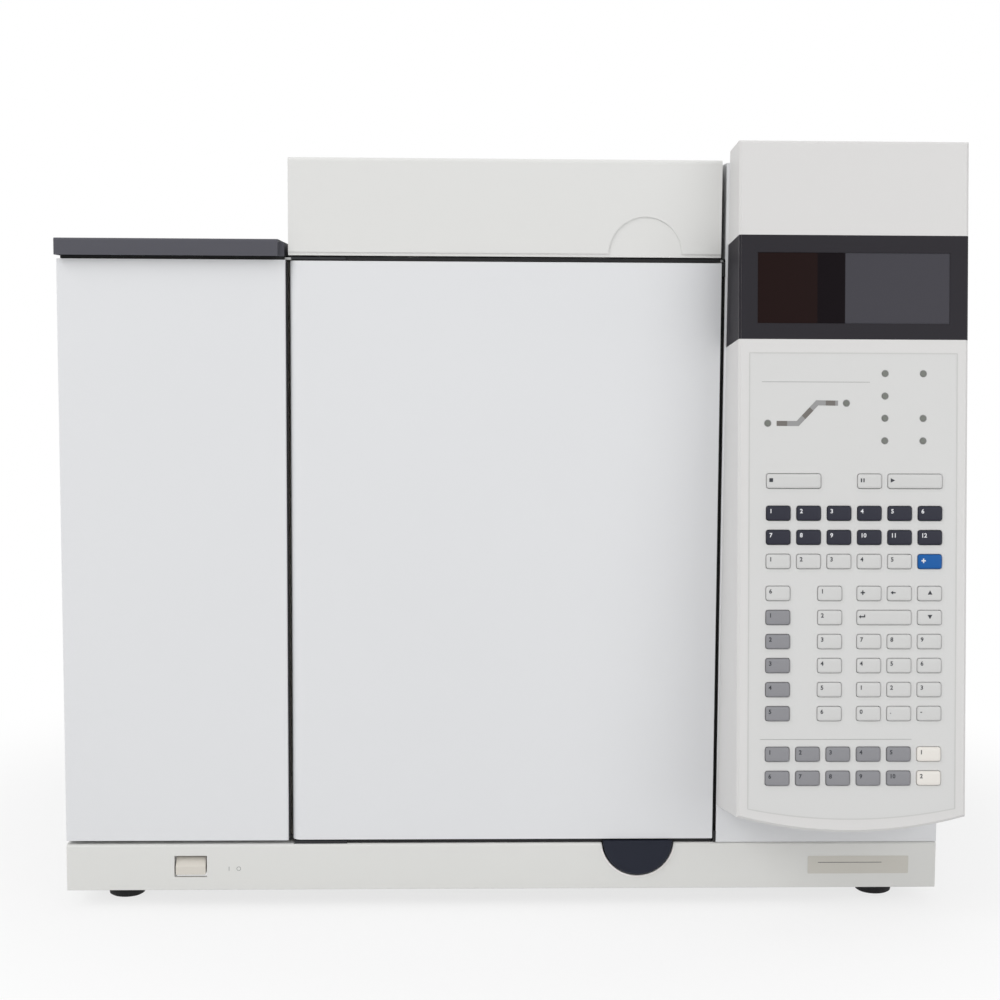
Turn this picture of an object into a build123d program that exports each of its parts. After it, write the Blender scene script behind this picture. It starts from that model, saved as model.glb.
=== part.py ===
from build123d import *
import os
from math import cos, radians, sin, tan

os.makedirs("parts", exist_ok=True)

# Bench-top gas chromatograph, millimetres.  +Z up, the front faces -Y, and the origin is
# on the bench, under the middle of the instrument.

# ---- driving dimensions -------------------------------------------------------------
width = 580.0
depth = 540.0
height = 503.7
sheet = 1.5  # folded panel metal
front_y = -203.0  # plane of the oven door and the front panels
rear_y = 245.0  # back face of the rear panel
left_x = -width / 2
right_x = width / 2
vent_reach_y = depth / 2  # the vent hoods reach furthest back

foot_height = 12.0
foot_radius = 17.0
foot_inset = 34.0
base_top_z = 43.0
base_wall = 3.0
panel_bottom_z = 45.6
panel_top_z = 428.0
panel_return = 12.0  # folded edge behind a panel's face

bay_width = 146.6  # left bay, behind the fixed front panel
console_width = 148.6
seam = 2.7  # gap between neighbouring front panels
console_gap = 2.5  # between the door and the console cabinet
left_panel_right_x = left_x + bay_width
door_left_x = left_panel_right_x + seam
console_left_x = right_x - console_width
door_right_x = console_left_x - console_gap
door_bottom_z = 46.0
door_top_z = 427.5
door_shell_depth = 22.0
door_plug_depth = 15.0
door_skin = 1.5
hinge_radius = 6.0  # rounded hinge edge of the door
hinge_pin_radius = 2.5
hinge_pin_reach = 10.0
running_fit = 0.05  # radial clearance of a pin in its hole
moving_gap = 0.5  # clearance beside a part that moves

oven_margin = 14.8  # how far the door reaches past the oven's mouth, each side
oven_height = 310.0
oven_depth = 175.0
insulation = 34.0
liner = 1.0
seal_gap = 2.5  # between the door's back and the oven's front face

deck_top_z = 429.8
cover_bottom_z = 431.0
cover_top_z = 493.5
cover_left_x = left_panel_right_x + 1.9
cover_right_x = door_right_x - 0.5
cover_wall = 2.0
cover_axis_y = 58.0
cover_edge_radius = 5.5
scoop_radius = 23.8
grip_x = door_right_x - 49.9  # centre line of the finger scoop and of the door release

lid_bottom_z = 430.2
lid_top_z = 441.0
lid_right_x = left_panel_right_x - 4.3
lid_step_x = lid_right_x + 3.6
lid_overhang = 7.0

console_top_z = 492.0
face_tilt = 4.85  # degrees that the console's face leans back
face_bottom_z = 68.7
bezel_wall = 3.0
bezel_sweep = 8.5  # degrees that the bezel's sides fall towards the back
bezel_side_length = 426.8
bezel_arc_sagitta = 9.8
bezel_left_x = console_left_x + 3.0
bezel_draft = 0.04  # how fast the bezel's left side widens towards the back
bezel_edge = 1.5

band_top = 59.4  # display band, measured down the face from its top edge
band_bottom = 125.0
band_thickness = 1.2
window_width = 122.0
window_height = 44.6
window_top = 70.4
lens_thickness = 2.0
overlay_width = 132.0
overlay_top = 133.6
overlay_side_bottom = 421.7
overlay_sagitta = 6.6
overlay_thickness = 2.5

key_width = 15.7
key_height = 9.7
key_pitch = 19.27
row_pitch = 15.2
key_gap = 0.5
key_proud = 1.0
key_travel = 0.8
key_flange = 1.0
key_back_gap = 0.3
first_row = 214.4  # run keys
component_row = 234.7
table_row = 265.1
edit_row = 285.3
method_row = 387.0
mode_column_x = -14.5

led_radius = 1.9
board_thickness = 1.6

# ---- places worked out from them ----------------------------------------------------
door_axis_x = door_left_x + hinge_radius
door_axis_y = front_y + hinge_radius
door_back_y = front_y + door_shell_depth
oven_front_y = door_back_y + seal_gap
oven_centre_x = (door_left_x + door_right_x) / 2
oven_width = door_right_x - door_left_x - 2 * oven_margin
oven_centre_z = (door_bottom_z + door_top_z) / 2
oven_back_y = oven_front_y + oven_depth
insulation_back_y = oven_back_y + insulation
base_bottom_z = foot_height
console_centre_x = (bezel_left_x + right_x) / 2
face_width = right_x - bezel_left_x
face_top_y = -depth / 2 + (height - face_bottom_z) * tan(radians(face_tilt))
face = Plane(
    origin=(console_centre_x, face_top_y, height),
    x_dir=(1, 0, 0),
    z_dir=(0, -cos(radians(face_tilt)), sin(radians(face_tilt))),
)
inward = Vector(0, cos(radians(bezel_sweep)), -sin(radians(bezel_sweep)))
inward_left = Vector(-bezel_draft, inward.Y, inward.Z)


def block(x0, x1, y0, y1, z0, z1, mode=Mode.ADD):
    """Box between two corners, in the active part."""
    with Locations(((x0 + x1) / 2, (y0 + y1) / 2, (z0 + z1) / 2)):
        Box(x1 - x0, y1 - y0, z1 - z0, mode=mode)


def rod(x, y, z, radius, length, axis="Z", mode=Mode.ADD):
    """Cylinder that starts at a point and runs along +X, +Y or +Z, in the active part."""
    turn = {"X": (0, 90, 0), "Y": (-90, 0, 0), "Z": (0, 0, 0)}[axis]
    with Locations(Location((x, y, z), turn)):
        Cylinder(radius, length, align=(Align.CENTER, Align.CENTER, Align.MIN), mode=mode)


# ---- base ---------------------------------------------------------------------------
rocker_x = left_x + 81.7
rocker_z = 28.0
rocker_width = 20.4
rocker_height = 13.4
rocker_axis_in = 6.0
rocker_pin_radius = 1.5
rocker_ear = 3.0
paddle_radius = 23.2
paddle_centre_z = 44.8
paddle_gap = 0.8
paddle_thickness = 4.0
paddle_proud = 2.0
paddle_axis_y = front_y + 7.0
paddle_axis_z = base_top_z - 7.0
hub_half_height = 3.0
hub_back = 2.5
catch_width = 12.0
catch_front = 1.0  # the catch's front face lies this far in front of the lever's pin
catch_gap = 0.7  # under the door
catch_sway = 1.6  # how far the catch's nose comes forward with the lever
gusset = 2 * foot_inset
rocker_axis_y = front_y + rocker_axis_in

with BuildPart() as base_pan:
    block(left_x, right_x, front_y, rear_y, base_bottom_z, base_top_z)
    block(
        left_x + base_wall, right_x - base_wall, front_y + base_wall, rear_y - base_wall,
        base_bottom_z, base_top_z - base_wall, mode=Mode.SUBTRACT,
    )
    for corner_x in (left_x, right_x - gusset):
        for corner_y in (front_y, rear_y - gusset):
            block(
                corner_x, corner_x + gusset, corner_y, corner_y + gusset,
                base_bottom_z, base_bottom_z + base_wall,
            )
    front_edge = base_pan.edges().filter_by(Axis.X).group_by(Axis.Y)[0].sort_by(Axis.Z)[-1]
    chamfer(front_edge, 1.2)
    rod(grip_x, front_y, paddle_centre_z, paddle_radius + paddle_gap, base_wall * 2, "Y", Mode.SUBTRACT)
    block(
        rocker_x - rocker_width / 2 - moving_gap, rocker_x + rocker_width / 2 + moving_gap,
        front_y, front_y + base_wall,
        rocker_z - rocker_height / 2 - moving_gap, rocker_z + rocker_height / 2 + moving_gap,
        mode=Mode.SUBTRACT,
    )
    block(
        grip_x - catch_width / 2 - moving_gap, grip_x + catch_width / 2 + moving_gap,
        paddle_axis_y - catch_front - catch_sway - moving_gap, paddle_axis_y + hub_back + moving_gap,
        base_top_z - base_wall, base_top_z, mode=Mode.SUBTRACT,
    )
    # ears that carry the power rocker's pin
    rocker_bay = rocker_width / 2 + moving_gap
    for ear_x in (rocker_x - rocker_bay - rocker_ear, rocker_x + rocker_bay):
        block(
            ear_x, ear_x + rocker_ear, front_y + base_wall, rocker_axis_y + 4.0,
            rocker_z - 4.0, base_top_z - base_wall,
        )
        rod(ear_x, rocker_axis_y, rocker_z, rocker_pin_radius + running_fit, rocker_ear, "X", Mode.SUBTRACT)

with BuildPart() as rubber_feet:
    for foot_x in (left_x + foot_inset, right_x - foot_inset):
        for foot_y in (front_y + foot_inset, rear_y - foot_inset):
            with Locations((foot_x, foot_y, 0)):
                Cone(
                    foot_radius - 2.5, foot_radius, foot_height,
                    align=(Align.CENTER, Align.CENTER, Align.MIN),
                )

# Power rocker: a see-saw on a cross pin.
with BuildPart() as power_rocker:
    with BuildSketch(Plane.YZ.offset(rocker_x - rocker_width / 2)) as rocker_side:
        with BuildLine():
            Polyline(
                (front_y - 0.6, rocker_z - rocker_height / 2 + 0.9),
                (front_y + 1.0, rocker_z),
                (front_y + 1.6, rocker_z + rocker_height / 2 - 0.9),
                (rocker_axis_y + 3.0, rocker_z + rocker_height / 2 - 0.9),
                (rocker_axis_y + 3.0, rocker_z - rocker_height / 2 + 0.9),
                close=True,
            )
        make_face()
    extrude(amount=rocker_width)
    rod(
        rocker_x - rocker_width / 2 - rocker_ear, rocker_axis_y, rocker_z,
        rocker_pin_radius, rocker_width + 2 * rocker_ear, "X",
    )

# ---- door release -------------------------------------------------------------------
paddle_face_y = front_y - paddle_proud
pin_small = 2.0
ear_thickness = 3.0
paddle_hub_width = 26.0
with BuildPart() as release_paddle:
    with BuildSketch(Plane.XZ.offset(-paddle_face_y)) as paddle_outline:
        with Locations((grip_x, paddle_centre_z)):
            Circle(paddle_radius)
            with Locations((0, paddle_radius)):
                Rectangle(2 * paddle_radius, 2 * paddle_radius, mode=Mode.SUBTRACT)
    extrude(amount=-paddle_thickness)
    paddle_rim = release_paddle.faces().sort_by(Axis.Y)[0].edges().filter_by(GeomType.CIRCLE)
    chamfer(paddle_rim, 1.0)
    block(
        grip_x - paddle_hub_width / 2, grip_x + paddle_hub_width / 2,
        paddle_face_y + paddle_thickness, paddle_axis_y + hub_back,
        paddle_axis_z - hub_half_height, paddle_axis_z + hub_half_height,
    )
    rod(
        grip_x - paddle_hub_width / 2, paddle_axis_y, paddle_axis_z,
        pin_small + running_fit, paddle_hub_width, "X", Mode.SUBTRACT,
    )

ear_gap = 0.3
bracket_back = 8.0  # behind the lever's pin
bracket_plate = 2.0
with BuildPart() as latch_bracket:
    ear_reach = paddle_hub_width / 2 + ear_gap
    for ear_x in (grip_x - ear_reach - ear_thickness, grip_x + ear_reach):
        block(
            ear_x, ear_x + ear_thickness, paddle_axis_y - 3.0, paddle_axis_y + bracket_back,
            paddle_axis_z - 4.0, base_top_z - base_wall,
        )
    rod(
        grip_x - ear_reach - ear_thickness, paddle_axis_y, paddle_axis_z,
        pin_small, 2 * (ear_reach + ear_thickness), "X",
    )
    block(
        grip_x - ear_reach - ear_thickness, grip_x + ear_reach + ear_thickness,
        paddle_axis_y + bracket_back - bracket_plate, paddle_axis_y + bracket_back,
        base_bottom_z + 8.0, base_top_z - base_wall,
    )

# Hooked catch, seated on the lever's hub.
catch_seat_z = paddle_axis_z + hub_half_height
catch_top_z = door_bottom_z - catch_gap
catch_front_y = paddle_axis_y - catch_front
catch_nose_y = paddle_axis_y + hub_back
with BuildPart() as latch_catch:
    with BuildSketch(Plane.YZ.offset(grip_x - catch_width / 2)):
        with BuildLine():
            Polyline(
                (catch_front_y, catch_seat_z), (catch_front_y, catch_top_z - 1.2),
                (catch_front_y + 1.2, catch_top_z), (catch_nose_y, catch_top_z),
                (catch_nose_y, catch_top_z - 1.4), (catch_nose_y - 1.3, catch_top_z - 2.2),
                (catch_nose_y - 1.3, catch_seat_z),
                close=True,
            )
        make_face()
    extrude(amount=catch_width)

# ---- oven ---------------------------------------------------------------------------
inlet_x = oven_centre_x + 62.9
detector_x = oven_centre_x - 69.1
port_ys = (-128.0, -62.0)
port_places = [(port_x, port_y) for port_x in (inlet_x, detector_x) for port_y in port_ys]
port_radius = 15.0
stem_radius = 5.0
oven_left_x = oven_centre_x - oven_width / 2
oven_right_x = oven_centre_x + oven_width / 2
oven_floor_z = oven_centre_z - oven_height / 2
oven_roof_z = oven_centre_z + oven_height / 2
vent_width = 90.0
vent_height = 40.0
vent_drop = 42.0  # from the oven's roof or floor to the middle of a vent
exhaust_z = oven_roof_z - vent_drop
intake_z = oven_floor_z + vent_drop
shaft_radius = 4.0
shaft_hole_radius = 8.0
fan_y = oven_back_y - 30.0  # front of the impeller's back disc
shroud_y = oven_back_y - 52.0

with BuildPart() as oven_liner:
    block(oven_left_x - liner, oven_right_x + liner, oven_front_y, oven_back_y + liner,
          oven_floor_z - liner, oven_roof_z + liner)
    block(oven_left_x, oven_right_x, oven_front_y, oven_back_y,
          oven_floor_z, oven_roof_z, mode=Mode.SUBTRACT)
    for vent_z in (exhaust_z, intake_z):
        block(oven_centre_x - vent_width / 2, oven_centre_x + vent_width / 2, oven_back_y,
              oven_back_y + liner, vent_z - vent_height / 2, vent_z + vent_height / 2, mode=Mode.SUBTRACT)
    rod(oven_centre_x, oven_back_y, oven_centre_z, shaft_hole_radius, liner, "Y", Mode.SUBTRACT)
    for port_x, port_y in port_places:
        rod(port_x, port_y, oven_roof_z, stem_radius + 0.5, liner, mode=Mode.SUBTRACT)

with BuildPart() as oven_insulation:
    block(oven_left_x - insulation, oven_right_x + insulation, oven_front_y, insulation_back_y,
          base_top_z, deck_top_z - sheet)
    block(oven_left_x - liner, oven_right_x + liner, oven_front_y, oven_back_y + liner,
          oven_floor_z - liner, oven_roof_z + liner, mode=Mode.SUBTRACT)
    for vent_z in (exhaust_z, intake_z):
        block(oven_centre_x - vent_width / 2, oven_centre_x + vent_width / 2, oven_back_y,
              insulation_back_y, vent_z - vent_height / 2, vent_z + vent_height / 2, mode=Mode.SUBTRACT)
    rod(oven_centre_x, oven_back_y, oven_centre_z, shaft_hole_radius, insulation, "Y", Mode.SUBTRACT)
    for port_x, port_y in port_places:
        rod(port_x, port_y, oven_roof_z, port_radius, deck_top_z - oven_roof_z, mode=Mode.SUBTRACT)

# Shroud: a baffle in front of the fan, held off the back wall by four legs.
shroud_margin = 14.0
shroud_legs = 8.0
intake_ring_radius = 62.0
with BuildPart() as fan_shroud:
    block(oven_left_x + shroud_margin, oven_right_x - shroud_margin, shroud_y, shroud_y + sheet,
          oven_floor_z + shroud_margin, oven_roof_z - shroud_margin)
    with Locations(Location((oven_centre_x, shroud_y, oven_centre_z), (-90, 0, 0))):
        with PolarLocations(intake_ring_radius * 0.62, 6):
            Cylinder(13.0, 4 * sheet, mode=Mode.SUBTRACT)
        with PolarLocations(intake_ring_radius, 12):
            Cylinder(9.0, 4 * sheet, mode=Mode.SUBTRACT)
    for leg_x in (oven_left_x + 22.0, oven_right_x - 22.0 - shroud_legs):
        for leg_z in (oven_floor_z + 22.0, oven_roof_z - 22.0 - shroud_legs):
            block(leg_x, leg_x + shroud_legs, shroud_y + sheet, oven_back_y, leg_z, leg_z + shroud_legs)

# Oven fan: backward-leaning blades on a disc, and the shaft that the motor turns.
fan_radius = 78.0
fan_blades = 10
blade_length = 40.0
blade_height = 18.0
motor_front_y = insulation_back_y + 34.0
motor_radius = 38.0
motor_length = 70.0
shaft_in_motor = 18.0
with BuildPart() as oven_fan:
    rod(oven_centre_x, fan_y, oven_centre_z, fan_radius, 2.0, "Y")
    rod(oven_centre_x, fan_y - blade_height, oven_centre_z, 16.0, blade_height, "Y")
    fan_plane = Plane(origin=(oven_centre_x, fan_y, oven_centre_z), x_dir=(1, 0, 0), z_dir=(0, -1, 0))
    with BuildSketch(fan_plane):
        with PolarLocations((fan_radius - blade_length / 2) - 2.0, fan_blades):
            Rectangle(blade_length, 2.0, rotation=28)
    extrude(amount=blade_height)
    rod(oven_centre_x, fan_y, oven_centre_z, shaft_radius, motor_front_y + shaft_in_motor - fan_y, "Y")

with BuildPart() as oven_motor:
    rod(oven_centre_x, motor_front_y, oven_centre_z, motor_radius, motor_length, "Y")
    fillet(oven_motor.edges().filter_by(GeomType.CIRCLE).sort_by(Axis.Y)[-1], 5.0)
    block(oven_centre_x - 52.0, oven_centre_x + 52.0, motor_front_y, motor_front_y + 3.0,
          oven_centre_z - 52.0, oven_centre_z + 52.0)
    for post_x in (oven_centre_x - 46.0, oven_centre_x + 46.0):
        for post_z in (oven_centre_z - 46.0, oven_centre_z + 46.0):
            rod(post_x, insulation_back_y, post_z, 4.0, motor_front_y - insulation_back_y, "Y")
    rod(oven_centre_x, motor_front_y, oven_centre_z, shaft_radius + running_fit,
        shaft_in_motor + 1.0, "Y", Mode.SUBTRACT)

# Heater: two rings of wire round the fan, on ceramic bars that stand on the back wall.
heater_radius = fan_radius + 14.0
heater_wire = 2.5
heater_bar = 5.0
with BuildPart() as heater_coil:
    for ring_y in (fan_y - 14.0, fan_y):
        with Locations(Location((oven_centre_x, ring_y, oven_centre_z), (-90, 0, 0))):
            Torus(heater_radius, heater_wire)
    for bar_turn in (0, 90, 180, 270):
        bar_x = oven_centre_x + heater_radius * cos(radians(bar_turn))
        bar_z = oven_centre_z + heater_radius * sin(radians(bar_turn))
        block(bar_x - heater_bar / 2, bar_x + heater_bar / 2, fan_y - 18.0, oven_back_y,
              bar_z - heater_bar / 2, bar_z + heater_bar / 2)

# Capillary column: a flat coil of tubing tied to a wire cage, hung on two hooks.
column_radius = 82.0
column_bundle = 7.0
column_y = shroud_y - 30.0
column_z = oven_centre_z - 8.0
hook_x = 44.0
cage_wire = 2.0
with BuildPart() as capillary_column:
    with Locations(Location((oven_centre_x, column_y, column_z), (-90, 0, 0))):
        Torus(column_radius, column_bundle)
    cage_reach = column_radius + column_bundle
    for cage_turn in (45, 135):
        with Locations(Location((oven_centre_x, column_y, column_z), (0, cage_turn, 0))):
            Box(2 * cage_reach, 2 * cage_wire, 2 * cage_wire)
    rod(oven_centre_x, column_y - 8.0, column_z, 9.0, 16.0, "Y")

hook_half = 3.0
coil_inner_radius = column_radius - column_bundle
hanger_z = column_z + (coil_inner_radius**2 - (hook_x + hook_half) ** 2) ** 0.5 - 0.3
with BuildPart() as column_hanger:
    for arm_x in (oven_centre_x - hook_x, oven_centre_x + hook_x):
        block(arm_x - hook_half, arm_x + hook_half, column_y - 12.0, shroud_y, hanger_z - 3.0, hanger_z)
        block(arm_x - hook_half, arm_x + hook_half, column_y - 15.0, column_y - 12.0,
              hanger_z - 3.0, hanger_z + 12.0)

# ---- oven door ----------------------------------------------------------------------
core_gap = 0.2
with BuildPart() as oven_door_shell:
    with BuildSketch(Plane.XY.offset(door_bottom_z)):
        with BuildLine():
            Line((door_right_x, front_y), (door_axis_x, front_y))
            RadiusArc((door_axis_x, front_y), (door_left_x, door_axis_y), hinge_radius)
            Polyline(
                (door_left_x, door_axis_y), (door_left_x, door_back_y),
                (door_right_x, door_back_y), (door_right_x, front_y),
            )
        make_face()
    extrude(amount=door_top_z - door_bottom_z)
    block(door_axis_x + hinge_radius, door_right_x - door_skin, front_y + door_skin, door_back_y,
          door_bottom_z + door_skin, door_top_z - door_skin, mode=Mode.SUBTRACT)
    hole_depth = hinge_pin_reach + 1.0
    rod(door_axis_x, door_axis_y, door_bottom_z, hinge_pin_radius + running_fit, hole_depth,
        mode=Mode.SUBTRACT)
    rod(door_axis_x, door_axis_y, door_top_z - hole_depth, hinge_pin_radius + running_fit,
        hole_depth, mode=Mode.SUBTRACT)

plug_gap = 3.0  # round the plug when the door is shut
with BuildPart() as oven_door_core:
    block(door_axis_x + hinge_radius + core_gap, door_right_x - door_skin - core_gap,
          front_y + door_skin, door_back_y,
          door_bottom_z + door_skin + core_gap, door_top_z - door_skin - core_gap)
    block(oven_left_x + plug_gap, oven_right_x - plug_gap, door_back_y, door_back_y + door_plug_depth,
          oven_floor_z + plug_gap, oven_roof_z - plug_gap)
    plug_rim = oven_door_core.faces().sort_by(Axis.Y)[-1].edges()
    chamfer(plug_rim, 2.0)

seal_width = 8.0
with BuildPart() as oven_door_seal:
    block(oven_left_x + plug_gap - seal_width, oven_right_x - plug_gap + seal_width,
          door_back_y, oven_front_y - key_back_gap,
          oven_floor_z + plug_gap - seal_width, oven_roof_z - plug_gap + seal_width)
    block(oven_left_x + plug_gap, oven_right_x - plug_gap, door_back_y, oven_front_y,
          oven_floor_z + plug_gap, oven_roof_z - plug_gap, mode=Mode.SUBTRACT)

hinge_plate = 2.0
hinge_washer = 0.3
with BuildPart() as door_hinges:
    block(door_axis_x - 5.0, door_axis_x + 30.0, front_y + 1.0, front_y + 24.0,
          base_top_z, base_top_z + hinge_plate)
    rod(door_axis_x, door_axis_y, base_top_z, hinge_pin_radius + 1.5,
        door_bottom_z - hinge_washer - base_top_z)
    rod(door_axis_x, door_axis_y, base_top_z, hinge_pin_radius,
        door_bottom_z + hinge_pin_reach - base_top_z)
    block(door_axis_x - 5.0, door_axis_x + 30.0, front_y + 1.0, front_y + 24.0,
          deck_top_z - sheet, deck_top_z)
    rod(door_axis_x, door_axis_y, door_top_z - hinge_pin_reach, hinge_pin_radius,
        deck_top_z - door_top_z + hinge_pin_reach)

# ---- front and side panels ----------------------------------------------------------
with BuildPart() as left_front_panel:
    block(left_x, left_panel_right_x, front_y, front_y + panel_return, panel_bottom_z, panel_top_z)
    block(left_x + sheet, left_panel_right_x - sheet, front_y + sheet, front_y + panel_return,
          panel_bottom_z + sheet, panel_top_z - sheet, mode=Mode.SUBTRACT)
    panel_face = left_front_panel.faces().sort_by(Axis.Y)[0]
    fillet(panel_face.edges().filter_by(Axis.Z), 1.0)

with BuildPart() as left_side_panel:
    block(left_x, left_x + sheet, front_y + panel_return + 0.3, rear_y - sheet - 0.3,
          base_top_z + 0.3, panel_top_z)
    with BuildSketch(Plane.YZ.offset(left_x)):
        with Locations((rear_y - 110.0, 150.0)):
            with GridLocations(0, 14.0, 1, 9):
                SlotOverall(120.0, 5.0)
    extrude(amount=sheet, mode=Mode.SUBTRACT)

# ---- deck over the oven and the left bay ------------------------------------------
deck_front_y = front_y + 8.0
module_width = 34.0
module_length = 54.0
module_drop = 46.0
module_pitch = 42.0
module_centre_x = (left_x + oven_left_x - insulation) / 2
module_y = -60.0
with BuildPart() as top_deck:
    block(left_x + sheet + 0.3, console_left_x - 0.3, deck_front_y, rear_y - sheet - 0.3,
          deck_top_z - sheet, deck_top_z)
    block(door_axis_x - 5.3, door_axis_x + 30.3, deck_front_y, front_y + 24.3,
          deck_top_z - sheet, deck_top_z, mode=Mode.SUBTRACT)
    for port_x, port_y in port_places:
        rod(port_x, port_y, deck_top_z - sheet, port_radius, sheet, mode=Mode.SUBTRACT)
    with Locations((module_centre_x, module_y, deck_top_z)):
        with GridLocations(module_pitch, module_length + 12.0, 3, 2):
            Box(module_width + 0.6, module_length + 0.6, 4 * sheet, mode=Mode.SUBTRACT)

with BuildPart() as epc_modules:
    with Locations((module_centre_x, module_y, deck_top_z)):
        with GridLocations(module_pitch, module_length + 12.0, 3, 2):
            Box(module_width, module_length, module_drop,
                align=(Align.CENTER, Align.CENTER, Align.MAX))
            Box(module_width + 6.0, module_length + 6.0, 1.2,
                align=(Align.CENTER, Align.CENTER, Align.MIN))
            Cylinder(7.0, 6.0, align=(Align.CENTER, Align.CENTER, Align.MIN))

# Inlets: heated body through the deck, finned shell, and a round nut over the septum.
with BuildPart() as inlets:
    for port_y in port_ys:
        with BuildSketch(Plane(origin=(inlet_x, port_y, deck_top_z), x_dir=(1, 0, 0), z_dir=(0, -1, 0))):
            with BuildLine():
                Polyline(
                    (0, -50.0), (stem_radius, -50.0), (stem_radius, -34.0), (port_radius - 1.0, -34.0),
                    (port_radius - 1.0, 0), (21.0, 0), (21.0, 4.0), (17.0, 4.0), (17.0, 24.0),
                    (10.0, 28.0), (10.0, 36.0), (0, 36.0), close=True,
                )
            make_face()
        revolve(axis=Axis((inlet_x, port_y, 0), (0, 0, 1)))
    for port_y in port_ys:
        rod(inlet_x, port_y, deck_top_z + 20.0, 0.8, 16.0, mode=Mode.SUBTRACT)

nut_facets_number = 12
with BuildPart() as inlet_septum_nuts:
    for port_y in port_ys:
        with BuildSketch(Plane.XY.offset(deck_top_z + 36.0)):
            with Locations((inlet_x, port_y)):
                RegularPolygon(14.0, nut_facets_number)
                Circle(1.5, mode=Mode.SUBTRACT)
        extrude(amount=13.0, taper=3)

# Detectors: base block, tower and the collector that stands in it.
with BuildPart() as detectors:
    for port_y in port_ys:
        with BuildSketch(Plane(origin=(detector_x, port_y, deck_top_z), x_dir=(1, 0, 0), z_dir=(0, -1, 0))):
            with BuildLine():
                Polyline(
                    (0, -48.0), (stem_radius, -48.0), (stem_radius, -32.0), (port_radius - 1.0, -32.0),
                    (port_radius - 1.0, 0), (24.0, 0), (24.0, 10.0), (14.0, 12.0), (14.0, 34.0),
                    (9.0, 34.0), (9.0, 14.0), (0, 14.0), close=True,
                )
            make_face()
        revolve(axis=Axis((detector_x, port_y, 0), (0, 0, 1)))

with BuildPart() as detector_collectors:
    for port_y in port_ys:
        rod(detector_x, port_y, deck_top_z + 14.0, 8.7, 22.0)
        rod(detector_x, port_y, deck_top_z + 36.0, 12.0, 4.0)
        rod(detector_x, port_y, deck_top_z + 40.0, 5.0, 12.0)
        block(detector_x, detector_x + 24.0, port_y - 4.0, port_y + 4.0,
              deck_top_z + 36.0, deck_top_z + 40.0)

# ---- lifting cover and lid, and the fixed covers behind them ------------------------
cover_axis_z = cover_top_z - cover_edge_radius
lid_edge_radius = (lid_top_z - lid_bottom_z) / 2
lid_axis_z = lid_bottom_z + lid_edge_radius
cover_back_y = cover_axis_y + cover_edge_radius
rear_cover_y = cover_back_y + 1.0
lug_width = 8.0
lug_half_height = 2.8
knuckle_width = 20.0
cover_lug_xs = (cover_left_x + 24.0, cover_right_x - 24.0 - lug_width)
lid_lug_xs = (left_x + 24.0, lid_right_x - 24.0 - lug_width)
lip_height = 2.2
lip_step = 1.0

with BuildPart() as top_cover:
    block(cover_left_x, cover_right_x, front_y, cover_back_y, cover_bottom_z, cover_top_z)
    rear_edges = top_cover.edges().filter_by(Axis.X).sort_by(Axis.Y)[-2:]
    fillet(rear_edges.sort_by(Axis.Z)[-1], cover_edge_radius - 0.05)
    fillet(top_cover.edges().filter_by(Axis.X).group_by(Axis.Y)[0].sort_by(Axis.Z)[-1], 2.5)
    block(cover_left_x + cover_wall, cover_right_x - cover_wall, front_y + cover_wall, cover_back_y,
          cover_bottom_z, cover_top_z - cover_wall, mode=Mode.SUBTRACT)
    for lug_x in cover_lug_xs:
        for knuckle_x in (lug_x - moving_gap - knuckle_width, lug_x + lug_width + moving_gap):
            block(knuckle_x, knuckle_x + knuckle_width, cover_axis_y - 4.5, cover_axis_y + 3.0,
                  cover_axis_z - 4.0, cover_top_z - cover_wall)
            rod(knuckle_x, cover_axis_y, cover_axis_z, pin_small + running_fit, knuckle_width, "X",
                Mode.SUBTRACT)
        block(lug_x - moving_gap, lug_x + lug_width + moving_gap, cover_axis_y - 7.0, cover_back_y,
              cover_axis_z - 5.0, cover_top_z, mode=Mode.SUBTRACT)
    block(cover_left_x, cover_right_x, front_y, front_y + lip_step,
          cover_bottom_z, cover_bottom_z + lip_height, mode=Mode.SUBTRACT)
    rod(grip_x, front_y, cover_bottom_z + lip_height, scoop_radius, cover_wall * 0.5, "Y", Mode.SUBTRACT)
    scoop_back = Plane(origin=(grip_x, front_y + cover_wall, cover_bottom_z + lip_height),
                       x_dir=(1, 0, 0), z_dir=(0, -1, 0))
    with BuildSketch(scoop_back):
        Circle(scoop_radius + 2.0)
        with Locations((0, -scoop_radius - 2.0)):
            Rectangle(3 * scoop_radius, 2 * scoop_radius + 4.0, mode=Mode.SUBTRACT)
    extrude(amount=-1.0)

with BuildPart() as left_lid:
    block(left_x, lid_right_x, front_y - lid_overhang, cover_axis_y, lid_bottom_z, lid_top_z)
    rod(left_x, cover_axis_y, lid_axis_z, lid_edge_radius, lid_right_x - left_x, "X")
    block(left_x + cover_wall, lid_right_x - cover_wall, front_y - lid_overhang + cover_wall,
          cover_axis_y - lid_edge_radius - 2.0, lid_bottom_z, lid_top_z - cover_wall, mode=Mode.SUBTRACT)
    block(lid_right_x, lid_step_x, front_y, cover_axis_y - 12.0, lid_bottom_z, lid_top_z - 1.7)
    for lug_x in lid_lug_xs:
        block(lug_x - moving_gap, lug_x + lug_width + moving_gap, cover_axis_y - 7.0,
              cover_axis_y + lid_edge_radius, lid_bottom_z, lid_top_z, mode=Mode.SUBTRACT)
        rod(lug_x - knuckle_width, cover_axis_y, lid_axis_z, pin_small + running_fit,
            2 * knuckle_width + lug_width, "X", Mode.SUBTRACT)
    fillet(left_lid.edges().filter_by(Axis.X).group_by(Axis.Y)[0].sort_by(Axis.Z)[-1], 1.5)

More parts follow.
